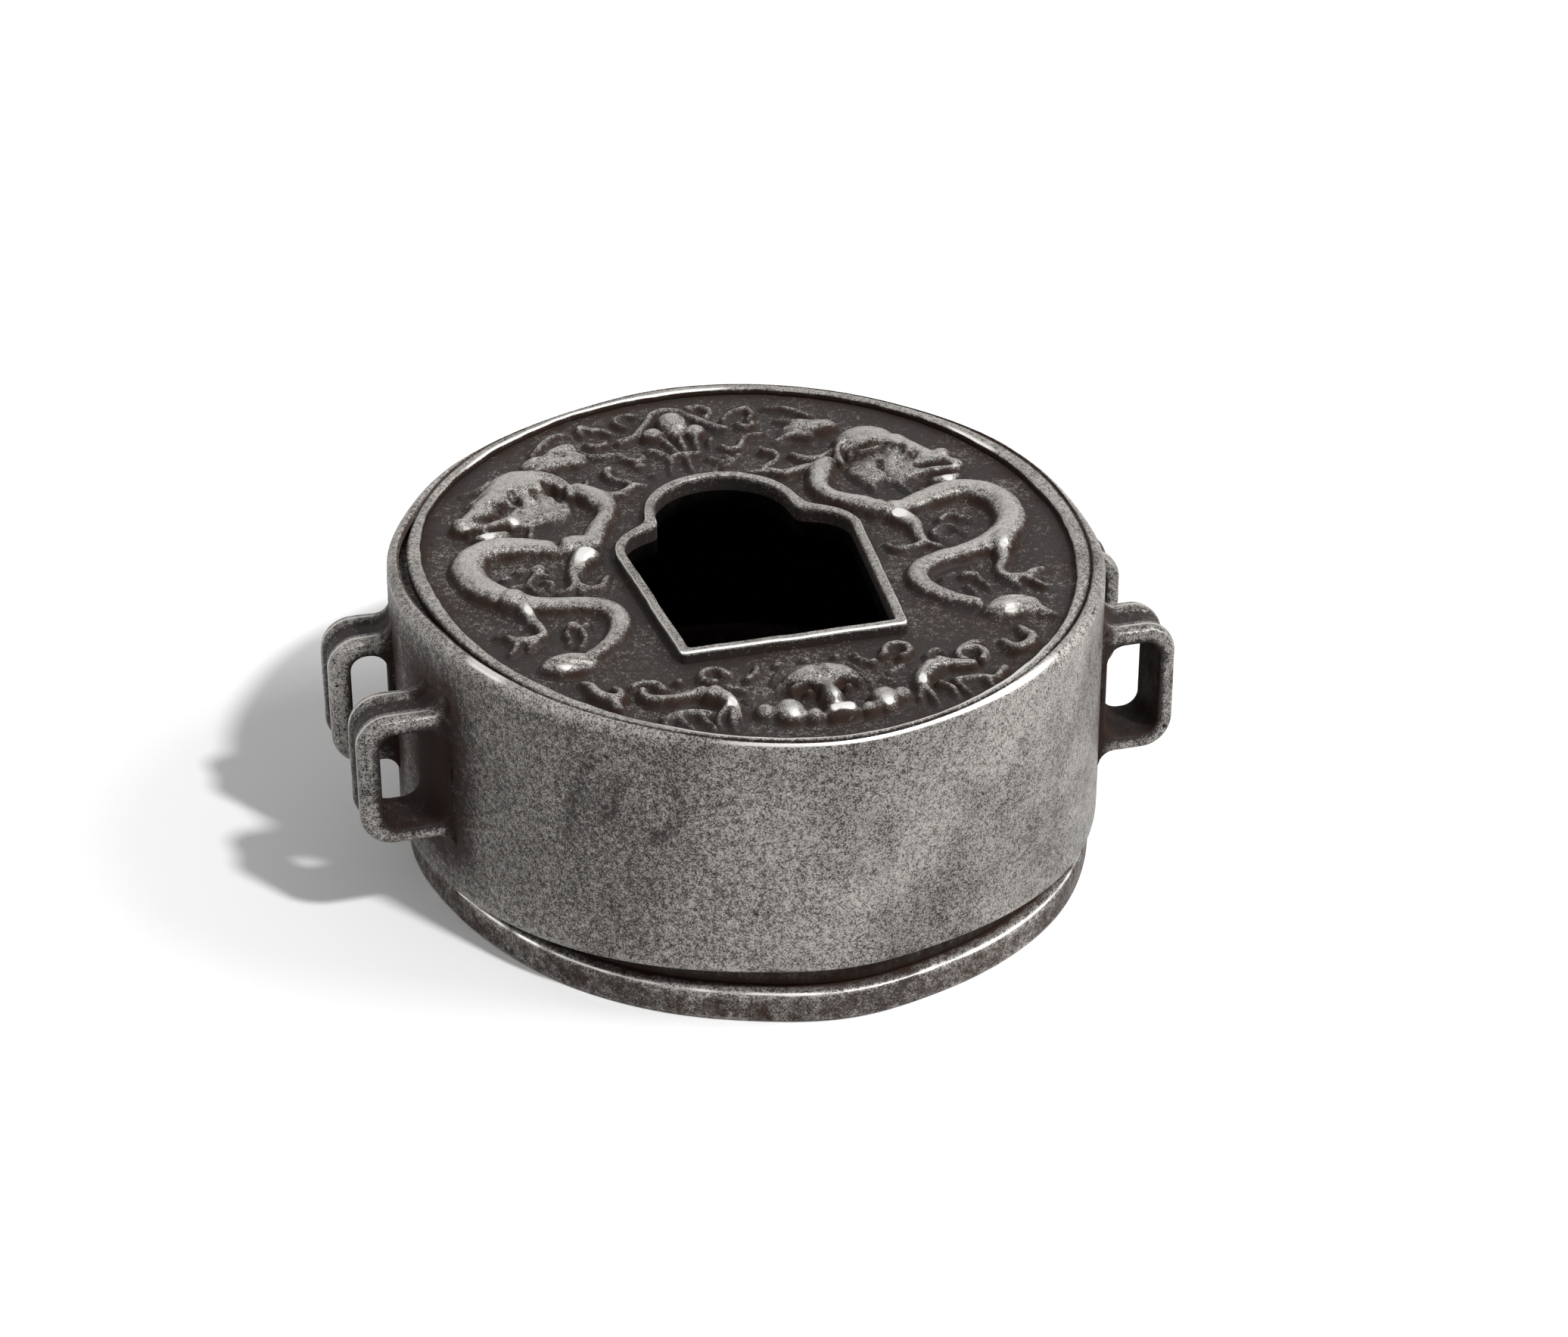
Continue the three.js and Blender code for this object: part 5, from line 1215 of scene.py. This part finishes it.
class SHRINE_OT_loops(bpy.types.Operator):
    """Models the four grooved strap loops"""
    bl_idname = "shrine.loops"
    bl_label = "Strap Loops"

    def execute(self, context):
        outer = ring_line("side_band", STEPS_ROUND, lambda r, z: r.max())
        for name in [n for n in nodes if n.startswith("strap_loop")]:
            finish_piece("bent_" + name, loop_mesh(name, outer), FINISHES["loop"], "case", "loop_iron", name)
        return {"FINISHED"}


# Stage
CAMERA_AT = Vector((-0.1251, -0.4749, 0.31205))
CAMERA_ALONG = Vector((0.2278, 0.8327, -0.5047))
CAMERA_ROLL = math.radians(-0.139)
CAMERA_LENS = 93.82
KEY_FROM = Vector((0.36, -0.54, 0.76)).normalized()
SIDE_FROM = Vector((0.79, -0.21, 0.57)).normalized()
BACK_FROM = Vector((-0.74, 0.32, 0.59)).normalized()


def shown_white(tree):
    """1 for rays that show the white surround, 0 for rays that light the case."""
    path = tree.nodes.new("ShaderNodeLightPath").outputs
    seen = math_node(tree, "ADD", path["Is Camera Ray"], path["Is Glossy Ray"])
    return math_node(tree, "ADD", seen, path["Is Transmission Ray"], True)


def sun(name, direction, strength, softness):
    light = bpy.data.lights.new(name, "SUN")
    light.energy = strength
    light.angle = softness
    lamp = bpy.data.objects.new(name, light)
    bpy.context.scene.collection.objects.link(lamp)
    lamp.rotation_euler = direction.to_track_quat("Z", "Y").to_euler()


class SHRINE_OT_stage(bpy.types.Operator):
    """Sets the pale floor, the soft studio lights and the camera"""
    bl_idname = "shrine.stage"
    bl_label = "Studio"

    def execute(self, context):
        scene = context.scene
        studio = scene.shrine_studio
        bm = bmesh.new()
        bmesh.ops.create_grid(bm, x_segments=2, y_segments=2, size=3)
        floor = mesh_object("floor", bm)
        material = bpy.data.materials.new("Pale Floor")
        material.use_nodes = True
        tree = material.node_tree
        shader = tree.nodes["Principled BSDF"]
        shade = tree.nodes.new("ShaderNodeMix")
        shade.data_type = "RGBA"
        shade.inputs["A"].default_value = (*[studio.bounce] * 3, 1)
        shade.inputs["B"].default_value = (*[studio.floor_white] * 3, 1)
        tree.links.new(shown_white(tree), shade.inputs["Factor"])
        tree.links.new(shade.outputs["Result"], shader.inputs["Base Color"])
        shader.inputs["Roughness"].default_value = 1
        shader.inputs["Specular IOR Level"].default_value = 0
        floor.data.materials.append(material)

        world = bpy.data.worlds.new("Studio")
        world.use_nodes = True
        tree = world.node_tree
        background = tree.nodes["Background"]
        background.inputs["Color"].default_value = (1, 1, 1, 1)
        strength = math_node(tree, "MULTIPLY", shown_white(tree), 1 - studio.sky)
        tree.links.new(math_node(tree, "ADD", strength, studio.sky), background.inputs["Strength"])
        scene.world = world

        sun("key", KEY_FROM, studio.key, studio.key_softness)
        sun("side", SIDE_FROM, studio.side, studio.softness)
        sun("back", BACK_FROM, studio.back, studio.softness)

        camera = bpy.data.cameras.new("camera")
        camera.lens = CAMERA_LENS
        camera.sensor_width = 36
        camera.clip_start = 0.01
        holder = bpy.data.objects.new("camera", camera)
        scene.collection.objects.link(holder)
        holder.location = CAMERA_AT
        holder.rotation_euler = CAMERA_ALONG.to_track_quat("-Z", "Y").to_euler()
        holder.rotation_euler.rotate_axis("Z", CAMERA_ROLL)
        scene.camera = holder
        scene.view_settings.view_transform = "Standard"
        return {"FINISHED"}


class SHRINE_PT_panel(bpy.types.Panel):
    bl_idname = "SHRINE_PT_panel"
    bl_label = "Shrine Case"
    bl_space_type = "VIEW_3D"
    bl_region_type = "UI"
    bl_category = "Shrine Case"

    def draw(self, context):
        layout = self.layout
        layout.prop(context.scene.shrine_relief, "height")
        layout.prop(context.scene.shrine_finish, "bright_iron")
        layout.prop(context.scene.shrine_finish, "dark_iron")
        layout.prop(context.scene.shrine_studio, "key")
        for operator in OPERATORS:
            layout.operator(operator.bl_idname)


OPERATORS = (SHRINE_OT_iron_finish, SHRINE_OT_side_band, SHRINE_OT_border, SHRINE_OT_cover, SHRINE_OT_ground,
             SHRINE_OT_window, SHRINE_OT_relief, SHRINE_OT_loops, SHRINE_OT_stage)
CLASSES = (ReliefSettings, FinishSettings, StudioSettings, *OPERATORS, SHRINE_PT_panel)


def register():
    for cls in CLASSES:
        bpy.utils.register_class(cls)
    bpy.types.Scene.shrine_relief = bpy.props.PointerProperty(type=ReliefSettings)
    bpy.types.Scene.shrine_finish = bpy.props.PointerProperty(type=FinishSettings)
    bpy.types.Scene.shrine_studio = bpy.props.PointerProperty(type=StudioSettings)


def unregister():
    del bpy.types.Scene.shrine_relief
    del bpy.types.Scene.shrine_finish
    del bpy.types.Scene.shrine_studio
    for cls in reversed(CLASSES):
        bpy.utils.unregister_class(cls)


def main():
    register()
    bpy.ops.shrine.iron_finish()
    bpy.ops.shrine.side_band()
    bpy.ops.shrine.border()
    bpy.ops.shrine.cover()
    bpy.ops.shrine.ground()
    bpy.ops.shrine.window()
    bpy.ops.shrine.relief()
    bpy.ops.shrine.loops()
    bpy.ops.shrine.stage()


if __name__ == "__main__":
    main()
